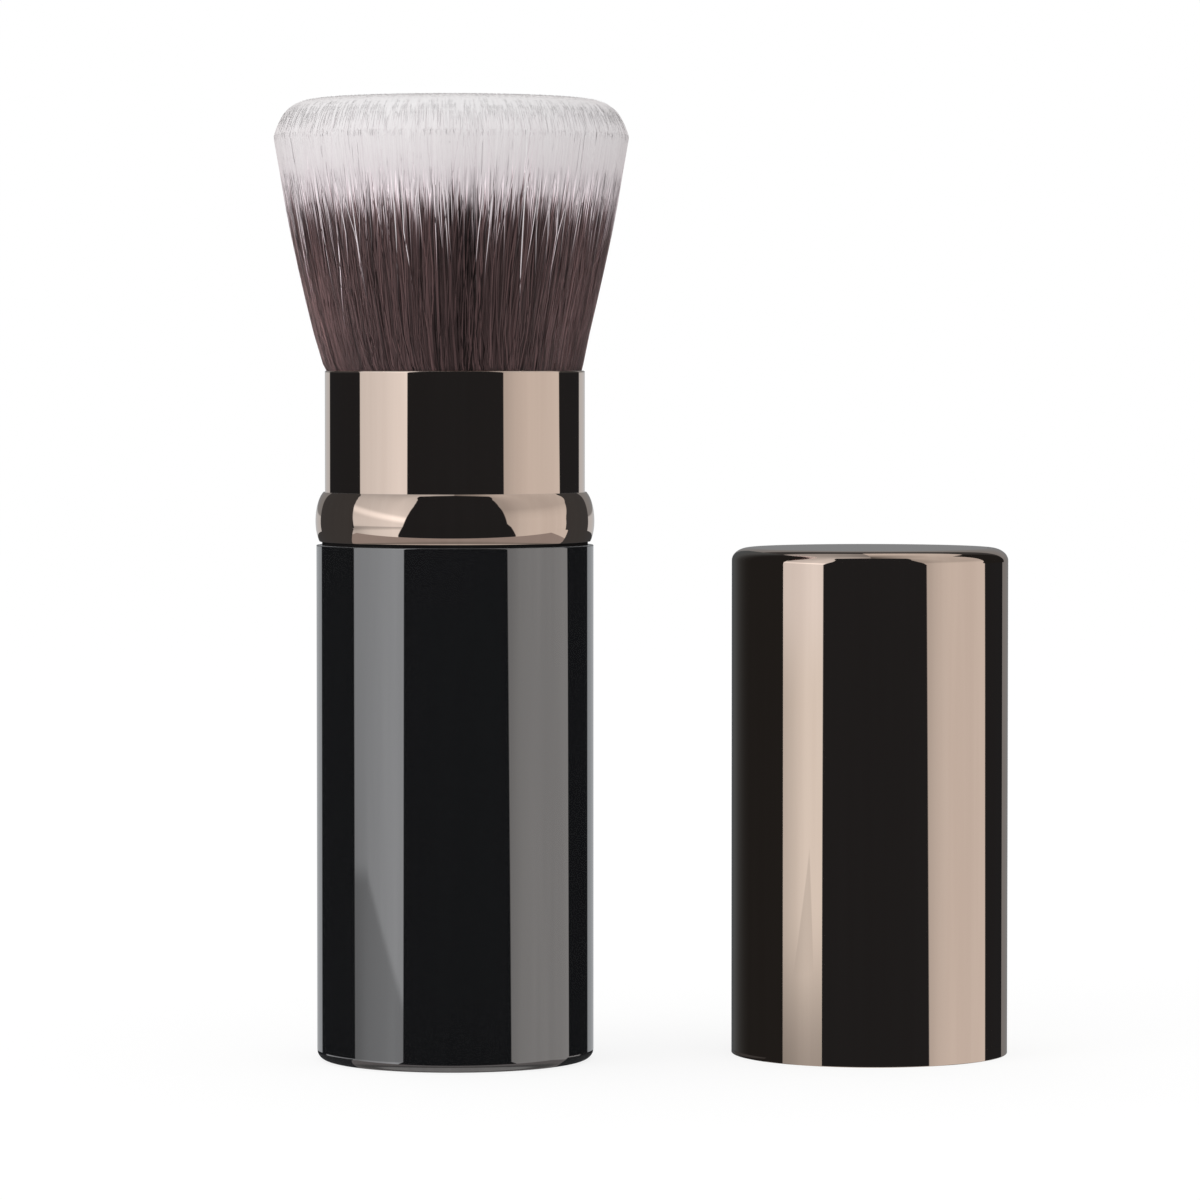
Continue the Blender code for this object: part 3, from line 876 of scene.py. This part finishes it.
def crown_fibres():
    """Centre lines, half widths and directions of the crown's short fibres."""
    spot = np.arange(crown_count) + 0.5
    share = np.sqrt(spot / crown_count) * 0.99
    angle = (spot * golden_angle + random.normal(0, 0.004, crown_count)) % math.tau
    tip_radius = share * skin_radius + random.normal(0, 0.08 * mm, crown_count)
    tip_radius = tip_radius.clip(0.02 * mm, 0.99 * skin_radius)
    proud = np.interp(share, [0.84, 0.90, 0.95], [0.05, -0.03, -0.15]) * mm
    uneven = np.abs(random.normal(0, 0.03 * mm, crown_count)).clip(0, 0.1 * mm)
    tip_height = crown_at(tip_radius) + proud - uneven
    length = np.interp(share, [0.8, 0.92], [1.6, 6.5]) * mm
    heights = tip_height[:, None] - length[:, None] * (1 - crown_way)
    reach = tip_radius[:, None] * flare_at(heights) / flare_at(tip_height)[:, None]
    turn = angle[:, None] + random.normal(0, 0.012, crown_count)[:, None] * crown_way
    lines = np.stack([reach * np.cos(turn), reach * np.sin(turn), heights], 2)
    thick = random.uniform(0.08, 0.115, crown_count) * mm
    return leaning(lines), thick[:, None] * np.array([1.0, 1.0, 0.5]), angle


side_lines, side_widths, side_share, side_angle = side_fibres()
crown_lines, crown_widths, crown_angle = crown_fibres()
print("fibres:", side_count, "down the side and", crown_count, "in the crown")

# %% [markdown]
# ## Dye lines and shades
# Most dye lines lie within a millimetre of each other. The pale strays are white much further
# down, by two millimetres on average and by nine at the most, so they end as fine pale points on
# the brown; the other strays stay brown. Shades come from two sources: a random value for each
# fibre and a smooth wave round the head, which gives locks that are lighter or darker as a
# whole. Deeper fibres are painted darker as well: a painted shade for the light that doesn't
# reach them.

# %% Numbers for the colour
strand_count = 380


def lock_tone(angle):
    """A wave of uneven pitch round the head, from -1 to 1."""
    waves = ((23, 0.4), (41, 1.9), (67, 3.1), (97, 5.0))
    return sum(np.sin(angle * pitch + phase) for pitch, phase in waves) / len(waves)


strand_table = random.normal(0, 1, strand_count)


def strand_tone(angle):
    """Noise with a pitch of a quarter of a millimetre, for strands of a few fibres."""
    return np.interp(angle % math.tau, np.linspace(0, math.tau, strand_count), strand_table)


pale, brown = side_layer == "pale strays", side_layer == "brown strays"
side_dye = dye_height + random.normal(0, 0.55 * mm, side_count) + lock_tone(side_angle) * 0.7 * mm
tufts = (1 + 1.6 * lock_tone(side_angle)).clip(0.3, 1.8)
side_dye[pale] -= (random.exponential(1.9 * mm, pale.sum()) * tufts[pale]).clip(0, 9 * mm)
side_dye[brown] += random.exponential(0.6 * mm, brown.sum()).clip(0, 3 * mm)
depth = np.clip(1 - side_share, 0, 1) * skin_radius / mm
side_shade = 1 + 0.2 * lock_tone(side_angle) + 0.4 * strand_tone(side_angle)
side_shade += random.normal(0, 0.26, side_count)
side_shade[brown] += random.uniform(0.1, 1.3, brown.sum())
# Painted shade: a fibre's tone drops with its depth under the skin, down to half.
side_shade = (side_shade * np.clip(1 - 0.3 * depth, 0.5, 1)).clip(0.25, 2.6)
side_speed = np.where(pale, random.uniform(0.35, 0.7, side_count), 1.0)
crown_dye, crown_speed = np.full(crown_count, dye_height), np.full(crown_count, 1.0)
crown_shade = (1 + random.normal(0, 0.05, crown_count)).clip(0.85, 1.1)
print("pale strays:", int(pale.sum()), "brown strays:", int(brown.sum()))


# %% [markdown]
# ## A solid heart under the fibres
# Real bristles are packed so tightly that nobody sees through them. Filling the whole head with
# prisms would take millions of faces, so a closed wedge lies just under the fibres in each
# sector. It follows the same skin and the same crown, a little deeper: closest where the fibres
# are white, because there the real head looks almost smooth. Its surface is ribbed like fibres
# and has the same dye line, so where it shows between two fibres it looks like the next ones.

# %% Heart wedges
sectors, rib_columns = 16, 46
wedge_side = np.concatenate(
    [[root_height + 0.1 * mm], np.linspace(sleeve_top + 0.5 * mm, sleeve_top + 26 * mm, 12)]
)
wedge_top = np.array([0.997, 0.991, 0.983, 0.97, 0.95, 0.92, 0.88, 0.82, 0.7, 0.45, 0.2, 0.06]) * skin_radius
wedge_depth = 0.03 * mm


def wedge_shell(turns):
    """Points (rows, turns, 3) of the wedge's ribbed side and crown."""
    paleness = np.clip((wedge_side - dye_height + 3 * mm) / (6 * mm), 0, 1)
    radii = np.concatenate([skin_at(wedge_side) - (0.42 - 0.38 * paleness) * mm, wedge_top])
    heights = np.concatenate([wedge_side, crown_at(wedge_top + 0.02 * mm) - wedge_depth])
    ribs = random.normal(0, 0.07 * mm, len(turns))
    ribs[[0, -1]] = 0
    depth = np.concatenate([1 - 0.85 * paleness, np.full(len(wedge_top), 0.15)])
    reach = radii[:, None] + ribs[None, :] * depth[:, None]
    heights = np.broadcast_to(heights[:, None], reach.shape)
    return np.stack([reach * np.cos(turns), reach * np.sin(turns), heights], 2)


def wedge_faces(rows, across, low, high):
    """The faces of a closed wedge. low and high are the numbers of its points on the axis."""
    faces = []
    for row in range(rows - 1):
        for n in range(across - 1):
            here = row * across + n
            faces.append((here, here + 1, here + across + 1, here + across))
    last = (rows - 1) * across
    for n in range(across - 1):
        faces.append((n + 1, n, low))
        faces.append((last + n, last + n + 1, high))
    faces.append([row * across for row in range(rows)] + [high, low])
    faces.append([low, high] + [row * across + across - 1 for row in reversed(range(rows))])
    return faces


def heart_wedge(start, end):
    """Points, faces and numbers of the closed wedge between two directions."""
    turns = np.linspace(start, end, rib_columns + 1)
    shell = wedge_shell(turns)
    rows, across, _ = shell.shape
    on_axis = [(0, 0, wedge_side[0]), (0, 0, head_top - 0.05 * mm)]
    points = leaning(np.vstack([shell.reshape(-1, 3), on_axis])).tolist()
    faces = wedge_faces(rows, across, len(points) - 2, len(points) - 1)
    # Painted shade: the heart's side and its points on the axis take tones darker than the fibres', for the
    # shaded deeper fibres that it stands for.
    tones = (0.7 + 0.25 * strand_tone(turns) + random.normal(0, 0.08, across)).clip(0.35, 1.2)
    on_side = np.repeat([1.0, 0.0], [len(wedge_side), len(wedge_top)])[:, None]
    shade = (0.8 + (tones - 0.8) * on_side).ravel().tolist() + [0.6, 0.8]
    dye = dye_height + 0.2 * mm + random.normal(0, 0.7 * mm, across)
    distance = ((shell[:, :, 2] - dye[None, :]) / mm).ravel().tolist() + [-20.0, 12.0]
    return points, faces, distance, shade


# %% [markdown]
# ## Sixteen sectors
# When the sleeve rises, it gathers the flared fibres. The head is cut into sixteen sectors, each
# a piece of its own that is tied to the handle.

# %% Build the head
# The numbers of each bundle, its directions, its rows in the UV map and their strip of it.
bundles = (
    ((side_lines, side_widths, side_dye, side_speed, side_shade), side_angle, 2, (0.42, 0.99)),
    ((crown_lines, crown_widths, crown_dye, crown_speed, crown_shade), crown_angle, 3, (0.14, 0.42)),
)


def sector_of(angle):
    return np.floor((angle % math.tau) / (math.tau / sectors)).astype(int)


def wedge_map(points, face, start, end):
    """UV places of one wedge face, by direction and height, in the lowest strip of the map."""
    spots = []
    for n in face:
        x, y, z = points[n]
        turn = math.atan2(y, x) % math.tau if math.hypot(x, y) > 1e-6 else (start + end) / 2
        if turn < start - 1e-6:
            turn = end
        across = min(max((turn - start) / (end - start), 0), 1)
        up = (z - root_height) / (head_top - root_height)
        spots.append((0.01 + 0.98 * across, 0.005 + 0.125 * up))
    return np.array(spots)


def build_sector(number):
    start, end = number * math.tau / sectors, (number + 1) * math.tau / sectors
    groups = []
    for numbers, angles, rows, strip in bundles:
        chosen = sector_of(angles) == number
        columns = column_grid(chosen.sum(), rows, *strip)
        groups.append(prisms(*(values[chosen] for values in numbers), columns))
    points, faces, distance, shade = heart_wedge(start, end)
    corner_map = [wedge_map(points, face, start, end) for face in faces]
    facing = bundle_normal(np.array(points)).tolist()
    for made in groups:
        for corners in made["faces"]:
            faces += (corners + len(points)).tolist()
        points += made["points"]
        facing += made["facing"]
        corner_map += made["corner_map"]
        distance += made["distance"]
        shade += made["shade"]
    name = f"bristle_sector_{number + 1:02d}"
    mesh = bpy.data.meshes.new(name)
    mesh.from_pydata(points, [], faces)
    mesh.attributes.new("dye_distance", "FLOAT", "POINT").data.foreach_set("value", distance)
    mesh.attributes.new("fibre_shade", "FLOAT", "POINT").data.foreach_set("value", shade)
    mesh.uv_layers.new(name=map_name).uv.foreach_set("vector", np.concatenate(corner_map).ravel())
    mesh.materials.append(two_tone_fibre)
    mesh.shade_smooth()
    mesh.normals_split_custom_set_from_vertices(facing)
    piece = add_object(name, mesh)
    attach(piece, "handle")
    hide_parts("bristle_core", "bristle_flare")
    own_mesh(piece)
    return len(mesh.polygons)


head_faces = sum(build_sector(number) for number in range(sectors))
print("faces in the head:", head_faces)

# %% [markdown]
# ## The camera
# The picture is taken with a long lens from a little above the middle of the brush, so the tubes
# look straight and their ends only slightly curved. The height and distance follow from how much
# the base and the cap's top edge curve.

# %% Place the camera
aim = Vector((0.01675, 0, 0.0531))
camera_distance, camera_height = 0.693, 0.0797
camera_data = bpy.data.cameras.new("studio_camera")
camera_data.lens, camera_data.sensor_width = 180, 36
camera_data.clip_start, camera_data.clip_end = 0.01, 20
camera = add_object("studio_camera", camera_data)
camera.location = (aim.x, -camera_distance, camera_height)
camera.rotation_euler = (aim - camera.location).to_track_quat("-Z", "Y").to_euler()
bpy.context.scene.camera = camera
print(f"camera {(aim - camera.location).length:.3f} m from its aim")


# %% [markdown]
# ## A studio painted on the sky
# Polished metal shows its surroundings and little else, so the surroundings are half of the
# material. The real set has two tall bright panels left and right, black between them, a pale
# backdrop behind and a table below. Lamps and cards could be built for each, but the world can
# hold them all: a direction is read as a turn away from the side where the camera stands and as
# a rise above the horizon, both in degrees. For each rise a table says at which turn a panel
# starts and ends, and others how bright it is. Low down, directions behind are folded to the
# front, because the table reflects the same panels on both sides. Mirror rays see that studio,
# soft light comes from an even dome, and the camera itself sees plain white.

# %% Studio tables
panel_left = {36: 0.80, 50: 0.86, 60: 0.785, 75: 0.725, 95: 0.67}
panel_right = {38: 0.44, 48: 0.485, 57: 0.575, 70: 0.64, 90: 0.63, 108: 0.66}
left_tint, right_tint = (1.0, 1.005, 1.02, 1), (1.0, 0.955, 0.925, 1)
inner_left = {
    -90: 60, -22: 48.8, -6.4: 42.6, -1: 41.3, 14: 37.8, 27: 35.6,
    37: 35.8, 47: 38, 64: 50.4, 70: 30, 73: 0,
}
inner_right = {
    -90: 65, -22: 55.3, -6.4: 48.6, -1: 44.9, 20: 42, 27: 40.6,
    37: 40.5, 47: 41, 64: 51, 70: 30, 73: 0,
}
outer_left = {-90: 92, -8: 90.8, 0: 91.5, 13: 93.8, 24: 97.2, 32: 101.7, 41: 112, 50: 150, 60: 180}
outer_right = {
    -90: 109, -7: 111, -2: 109, 0: 106.3, 4.6: 106.5, 20: 112.8,
    26: 118, 37: 126, 44: 139, 47: 153, 55: 180,
}
dim_left = {-90: 1, 5: 1, 20: 0.87, 35: 0.82, 64: 0.66, 75: 0.55}
dim_right = {-90: 1, 5: 1, 12: 0.93, 20: 0.76, 64: 0.8, 75: 0.6}
dark_wall, side_wall = (0.0155, 0.0165, 0.0185, 1), (0.046, 0.047, 0.049, 1)
table_grey, table_shadow = (0.305, 0.275, 0.27, 1), (0.16, 0.155, 0.15, 1)
table_near = (0.46, 0.44, 0.43, 1)
backdrop, high_backdrop = (0.52, 0.535, 0.55, 1), (0.225, 0.23, 0.235, 1)
table_from, table_span = -90, 270
# Lines across the left panel: the rise for each degree of turn, and the rise at a turn of 0.
wedge_line, wedge_end, streak_line = (0.036, -7.59), 77.5, (0.221, -4.7)
# The table's edge as a z that follows y up to a limit, and the y from which the backdrop shows.
table_line, table_limit, backdrop_from = (0.313, -0.242), -0.187, 0.825
fold_below = -7.25
# The soft dome's brightness at the horizon, and its change with z and with x.
dome_level, dome_up, dome_aside = 0.80, 0.08, -0.06


# %% Studio parts
def follow(value, stops, top):
    """A curve through stops, a table of degrees to values between 0 and top."""
    way = times_plus(value, 1 / table_span, -table_from / table_span)
    curve = add_node(value.id_data, "FloatCurve", {"Value": way})
    points = curve.mapping.curves[0].points
    spots = [((degrees - table_from) / table_span, height / top) for degrees, height in stops.items()]
    points[0].location, points[1].location = spots[0], spots[-1]
    for spot in spots[1:-1]:
        points.new(*spot)
    for point in points:
        point.handle_type = "VECTOR"
    curve.mapping.update()
    return times(curve.outputs[0], top)


def over(value, limit, soft):
    """1 where value is above limit, with an edge as wide as twice soft."""
    return ramp(math_node("SUBTRACT", value, limit), -soft, soft)


def read_direction(tree):
    """The direction of a ray as x, y and z, and as its turn and rise in degrees."""
    place = add_node(tree, "TexCoord").outputs["Generated"]
    x, y, z = add_node(tree, "SeparateXYZ", {0: place}).outputs
    rise = math_node("DEGREES", math_node("ARCSINE", z))
    folded = times(math_node("ABSOLUTE", y), -1.0)
    y = choose(over(rise, fold_below, 0.05), folded, y)
    wide, ahead = math_node("ABSOLUTE", x), times(y, -1.0)
    turn = math_node("DEGREES", math_node("ARCTAN2", wide, ahead))
    return x, y, z, turn, rise


def paint_panel(turn, rise, glow, dim, tint):
    strength = times(follow(turn, glow, 1), follow(rise, dim, 1))
    return blend_colours(1.0, grey_of(strength), tint, "MULTIPLY")


def shade_left_panel(panel, turn, rise):
    """The dark wedge, the pale streak over it and the faded end, low in the left panel."""
    wedge_top = times_plus(math_node("MINIMUM", turn, wedge_end), *wedge_line)
    wedge = times(less(over(rise, wedge_top, 0.12)), over(rise, -9.5, 2.5))
    fading = times(ramp(turn, 72, 92), ramp(rise, -1.5, -6.5))
    off_streak = math_node("SUBTRACT", rise, times_plus(turn, *streak_line))
    streak = ramp(math_node("ABSOLUTE", off_streak), 0.5, 6.5, 1.5, 1.0)
    darkened = times(times_plus(wedge, -0.36, 1.0), streak)
    darkened = times(darkened, times_plus(fading, -0.25, 1.0))
    return blend_colours(1.0, panel, grey_of(darkened), "MULTIPLY")


def past(turn, rise, right, left_table, right_table):
    """1 where the turn is past the one that the side's own table gives for the rise."""
    on_left, on_right = [
        over(turn, follow(rise, table, 180), 0.5) for table in (left_table, right_table)
    ]
    return choose(right, on_left, on_right)


# %% Build the studio
def build_studio():
    world = bpy.data.worlds.new("photo_studio")
    world.use_nodes = True
    bpy.context.scene.world = world
    tree = world.node_tree
    x, y, z, turn, rise = read_direction(tree)
    right = over(x, 0.0, 0.001)
    inside = past(turn, rise, right, inner_left, inner_right)
    beyond = past(turn, rise, right, outer_left, outer_right)
    left_panel = paint_panel(turn, rise, panel_left, dim_left, left_tint)
    left_panel = shade_left_panel(left_panel, turn, rise)
    right_panel = paint_panel(turn, rise, panel_right, dim_right, right_tint)
    panels = blend_colours(right, left_panel, right_panel)

    above = times(beyond, over(rise, 1.0, 0.6))
    walls = blend_colours(above, dark_wall, side_wall)
    studio = blend_colours(times(inside, less(beyond)), walls, panels)
    table_edge = math_node("MINIMUM", times_plus(y, *table_line), table_limit)
    table = blend_colours(ramp(rise, -36, -48), table_grey, table_shadow)
    table = blend_colours(ramp(rise, -52, -60), table, table_near)
    on_table = times(less(over(z, table_edge, 0.004)), less(beyond))
    studio = blend_colours(on_table, studio, table)
    behind = blend_colours(ramp(rise, 0.5, 1.5), backdrop, high_backdrop)
    studio = blend_colours(over(y, backdrop_from, 0.01), studio, behind)

    ray = add_node(tree, "LightPath").outputs
    seen = math_node("MAXIMUM", ray["Is Camera Ray"], ray["Is Transmission Ray"])
    overhead = times_plus(math_node("MAXIMUM", z, 0.0), dome_up, dome_level)
    dome = grey_of(times_plus(x, dome_aside, overhead))
    colour = blend_colours(seen, dome, (1, 1, 1, 1))
    colour = blend_colours(ray["Is Glossy Ray"], colour, studio)
    feed(tree.nodes["Background"], {"Color": colour})


build_studio()
print("nodes in the studio:", len(bpy.context.scene.world.node_tree.nodes))

# %% [markdown]
# ## Soft lamps and a white floor
# Two large lamps give the fibres their shape: a key from the upper left and a weaker one from the
# right. Two small strips behind a narrow grid stand level with the brown fibres, a little behind
# the brush, and brighten only their sides. Mirrors don't see the lamps, because the painted
# panels already stand for them. The floor is plain white with a share of its own light for the
# camera only, so that it is as white as the background and still keeps the soft shadow beside
# the brush.


# %% Lamps and floor
def add_lamp(name, place, aim, size, power, spread=180):
    """An area lamp. Size is its width and height, and spread the angle that its grid lets out."""
    data = bpy.data.lights.new(name, "AREA")
    data.shape, data.size, data.size_y, data.energy = "RECTANGLE", *size, power
    data.spread = math.radians(spread)
    lamp = add_object(name, data)
    lamp.location = place
    lamp.rotation_euler = (Vector(aim) - lamp.location).to_track_quat("-Z", "Y").to_euler()
    lamp.visible_glossy = False
    lamp.visible_camera = False


lamp_aim, lamp_size = (0.02, 0, 0.06), (0.6, 0.6)
add_lamp("key_lamp", (-0.75, -0.65, 0.5), lamp_aim, lamp_size, 1.95)
add_lamp("fill_lamp", (0.65, -0.7, 0.4), lamp_aim, lamp_size, 0.35)
strip_height, strip_size, strip_spread = sleeve_top + 7 * mm, (0.04, 0.010), 4
for name, side, power in (("strip_left", -1, 0.0042), ("strip_right", 1, 0.0019)):
    place = (side * 0.267, 0.13, strip_height)
    add_lamp(name, place, (0, 0, strip_height), strip_size, power, strip_spread)


def blank_material(name):
    """A material whose nodes are still to come."""
    material = bpy.data.materials.new(name)
    material.use_nodes = True
    material.node_tree.nodes.clear()
    return material, material.node_tree


def end_in_mix(share, first, second):
    """Show a mix of two shaders on the surface."""
    both = add_node(share.id_data, "MixShader", {0: share, 1: first.outputs[0], 2: second.outputs[0]})
    add_node(share.id_data, "OutputMaterial", {"Surface": both.outputs[0]})


floor_paint, floor_glow, glow_share = (0.92, 0.92, 0.92, 1), 1.06, 0.78


def white_floor():
    material, tree = blank_material("white_floor")
    paint = add_node(tree, "BsdfDiffuse", {"Color": floor_paint})
    glow = add_node(tree, "Emission", {"Color": (1, 1, 1, 1), "Strength": floor_glow})
    share = times(add_node(tree, "LightPath").outputs["Is Camera Ray"], glow_share)
    end_in_mix(share, paint, glow)
    return material


def flat_piece(name, corners, material):
    """A single flat face."""
    mesh = bpy.data.meshes.new(name)
    mesh.from_pydata(corners, [], [list(range(len(corners)))])
    mesh.materials.append(material)
    return add_object(name, mesh)


floor_half = 3.0
floor_corners = [(x * floor_half, y * floor_half, 0) for x, y in ((-1, -1), (1, -1), (1, 1), (-1, 1))]
studio_floor = flat_piece("studio_floor", floor_corners, white_floor())
studio_floor.visible_glossy = False

# %% [markdown]
# ## Clean mirrors
# Side by side, the brush and its cap would show in each other and cut the bright stripes. A
# photographer avoids that by lighting each by itself and by standing cards between them. Here
# mirror rays pass through every piece but the fibres and only see the studio, while soft light
# and shadow still treat the pieces as solid. The cards are painted reflections: glowing sheets
# that mirror rays alone see, from one side and from nearby, and that light nothing. A black one
# between the brush and its cap narrows the cap's left stripe and darkens its left rim. A pale one
# in front of that holds the stripe itself, with painted shade towards the table and a thin painted
# shadow of the brush in it. A grey one behind the cap tones its right rim, and a small black one
# its right top corner. Two more stand beside the bead and even out its dark sides, and one lies
# under the bead and one under the base, a painted reflection of the shade beneath them, so that
# no bright panel shows in their lower edges.


# %% Hide pieces from mirrors and stand the cards
def painted_reflection_card(name, corners, near_tone, far_tone=None, change=(0.0, 1 * mm), reach=1.0, shading=None):
    """A painted reflection: a glowing card that only mirrors see, from its front and from no further away
    than reach.

    Its tone goes from near_tone to far_tone between the two depths in change. shading is a
    function of depth and height that gives how much of the tone is left and where it ends.
    """
    material, tree = blank_material(name)
    _, depth, height = add_node(tree, "SeparateXYZ", {0: own_place(tree)}).outputs
    tone = blend_colours(ramp(depth, *change), near_tone, far_tone or near_tone)
    strength, ended = shading(depth, height) if shading else (1.0, 0.0)
    card = add_node(tree, "Emission", {"Color": tone, "Strength": strength})
    clear = add_node(tree, "BsdfTransparent")
    far = math_node("GREATER_THAN", add_node(tree, "LightPath").outputs["Ray Length"], reach)
    hidden = math_node("MAXIMUM", add_node(tree, "NewGeometry").outputs["Backfacing"], far)
    end_in_mix(math_node("MAXIMUM", hidden, ended), card, clear)
    piece = flat_piece(name, corners, material)
    for ray_kind in ("camera", "diffuse", "transmission", "shadow", "volume_scatter"):
        setattr(piece, f"visible_{ray_kind}", False)


def upright(place, depth_span, height_span, faces_right):
    """Corners of an upright card at x = place."""
    (front, back), (low, high) = depth_span, height_span
    corners = [(place, front, low), (place, back, low), (place, back, high), (place, front, high)]
    return corners if faces_right else corners[::-1]


def panel_painted_shade(depth, height):
    """Painted shade: darker towards the table, with a painted thin shadow of the brush standing on it."""
    low = ramp(height, -4 * mm, 17 * mm, 0.5, 1.0)
    drop = math_node("MAXIMUM", times_plus(height, -1.0, 24 * mm), 0.0)
    rear = math_node("SUBTRACT", times_plus(drop, 0.55, -20.8 * mm), depth)
    front = math_node("ADD", times_plus(drop, 0.18, 20.8 * mm), depth)
    shadow = ramp(math_node("MINIMUM", rear, front), 0.0, 0.7 * mm, 1.0, 0.82)
    return math_node("MINIMUM", low, shadow), ramp(height, 40 * mm, 54 * mm)


for piece in [*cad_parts.values(), handle_tube, bead_collar, slide_sleeve, cap_body, cap_lining]:
    piece.visible_glossy = False

# %% Cards for the cap
# Each card is a painted reflection: a glowing sheet seen by mirror rays only, which lights nothing.
black_tone, grey_tone = (0.0155, 0.0155, 0.0155, 1), (0.072, 0.082, 0.088, 1)
panel_tones = (0.78, 0.775, 0.757, 1), (0.55, 0.547, 0.535, 1)
rim_tone, dark_reflection_tone = (0.21, 0.215, 0.22, 1), (0.046, 0.047, 0.049, 1)
card_foot, between_x, card_join = -20 * mm, cap_low.x - 8.1 * mm, -8.8 * mm

between = upright(between_x, (card_join, 90 * mm), (card_foot, 85 * mm), True)
painted_reflection_card("black_painted_reflection", between, black_tone, grey_tone, (4 * mm, 24 * mm))
# The panel card paints the reflected panel, with painted shade towards the table and a painted shadow of the
# brush.
panel = upright(between_x, (-28.9 * mm, card_join), (card_foot, 56 * mm), True)
painted_reflection_card("panel_painted_reflection", panel, *panel_tones, (-20 * mm, -7.5 * mm), 40 * mm, panel_painted_shade)
behind_y, behind_top = cap_centre.y + 22 * mm, 62 * mm
behind_span = (cap_high.x - 1 * mm, cap_high.x + 20 * mm)
behind_cap = [(x, behind_y, card_foot) for x in behind_span]
behind_cap += [(x, behind_y, behind_top) for x in reversed(behind_span)]
painted_reflection_card("painted_reflection_behind_cap", behind_cap, rim_tone, reach=45 * mm)
at_corner = upright(cap_high.x + 2.2 * mm, (-2 * mm, 5.6 * mm), (57.3 * mm, 72 * mm), False)
painted_reflection_card("corner_painted_reflection", at_corner, black_tone, reach=20 * mm)

# %% Cards for the bead and the base
for name, place, front in (("bead_painted_reflection_left", -21.5, -10.95), ("bead_painted_reflection_right", 21.5, -7.1)):
    beside = upright(place * mm, (front * mm, 4.2 * mm), (widest - 2.2 * mm, widest + 1.1 * mm), place < 0)
    painted_reflection_card(name, beside, dark_reflection_tone, reach=12 * mm)
# The cards under the bead and the base paint the shade beneath them into their reflections: dark sheets where
# the mirrored table would show.
ground = ((-30, -11.2), (13, -9.3), (30, -3.1), (30, 30), (-30, 30))
below = {"painted_shade_under_bead": (handle_top - 0.1 * mm, 16 * mm), "painted_shade_under_base": (-0.3 * mm, 7 * mm)}
for name, (height, reach) in below.items():
    painted_reflection_card(name, [(x * mm, y * mm, height) for x, y in ground], dark_reflection_tone, reach=reach)
print("mirror cards: four for the cap, three for the bead and one under the base")

# %% [markdown]
# ## Last lines
# The view is kept plain, so that colours come out as written.

# %% Finish
bpy.context.scene.view_settings.view_transform = "Standard"
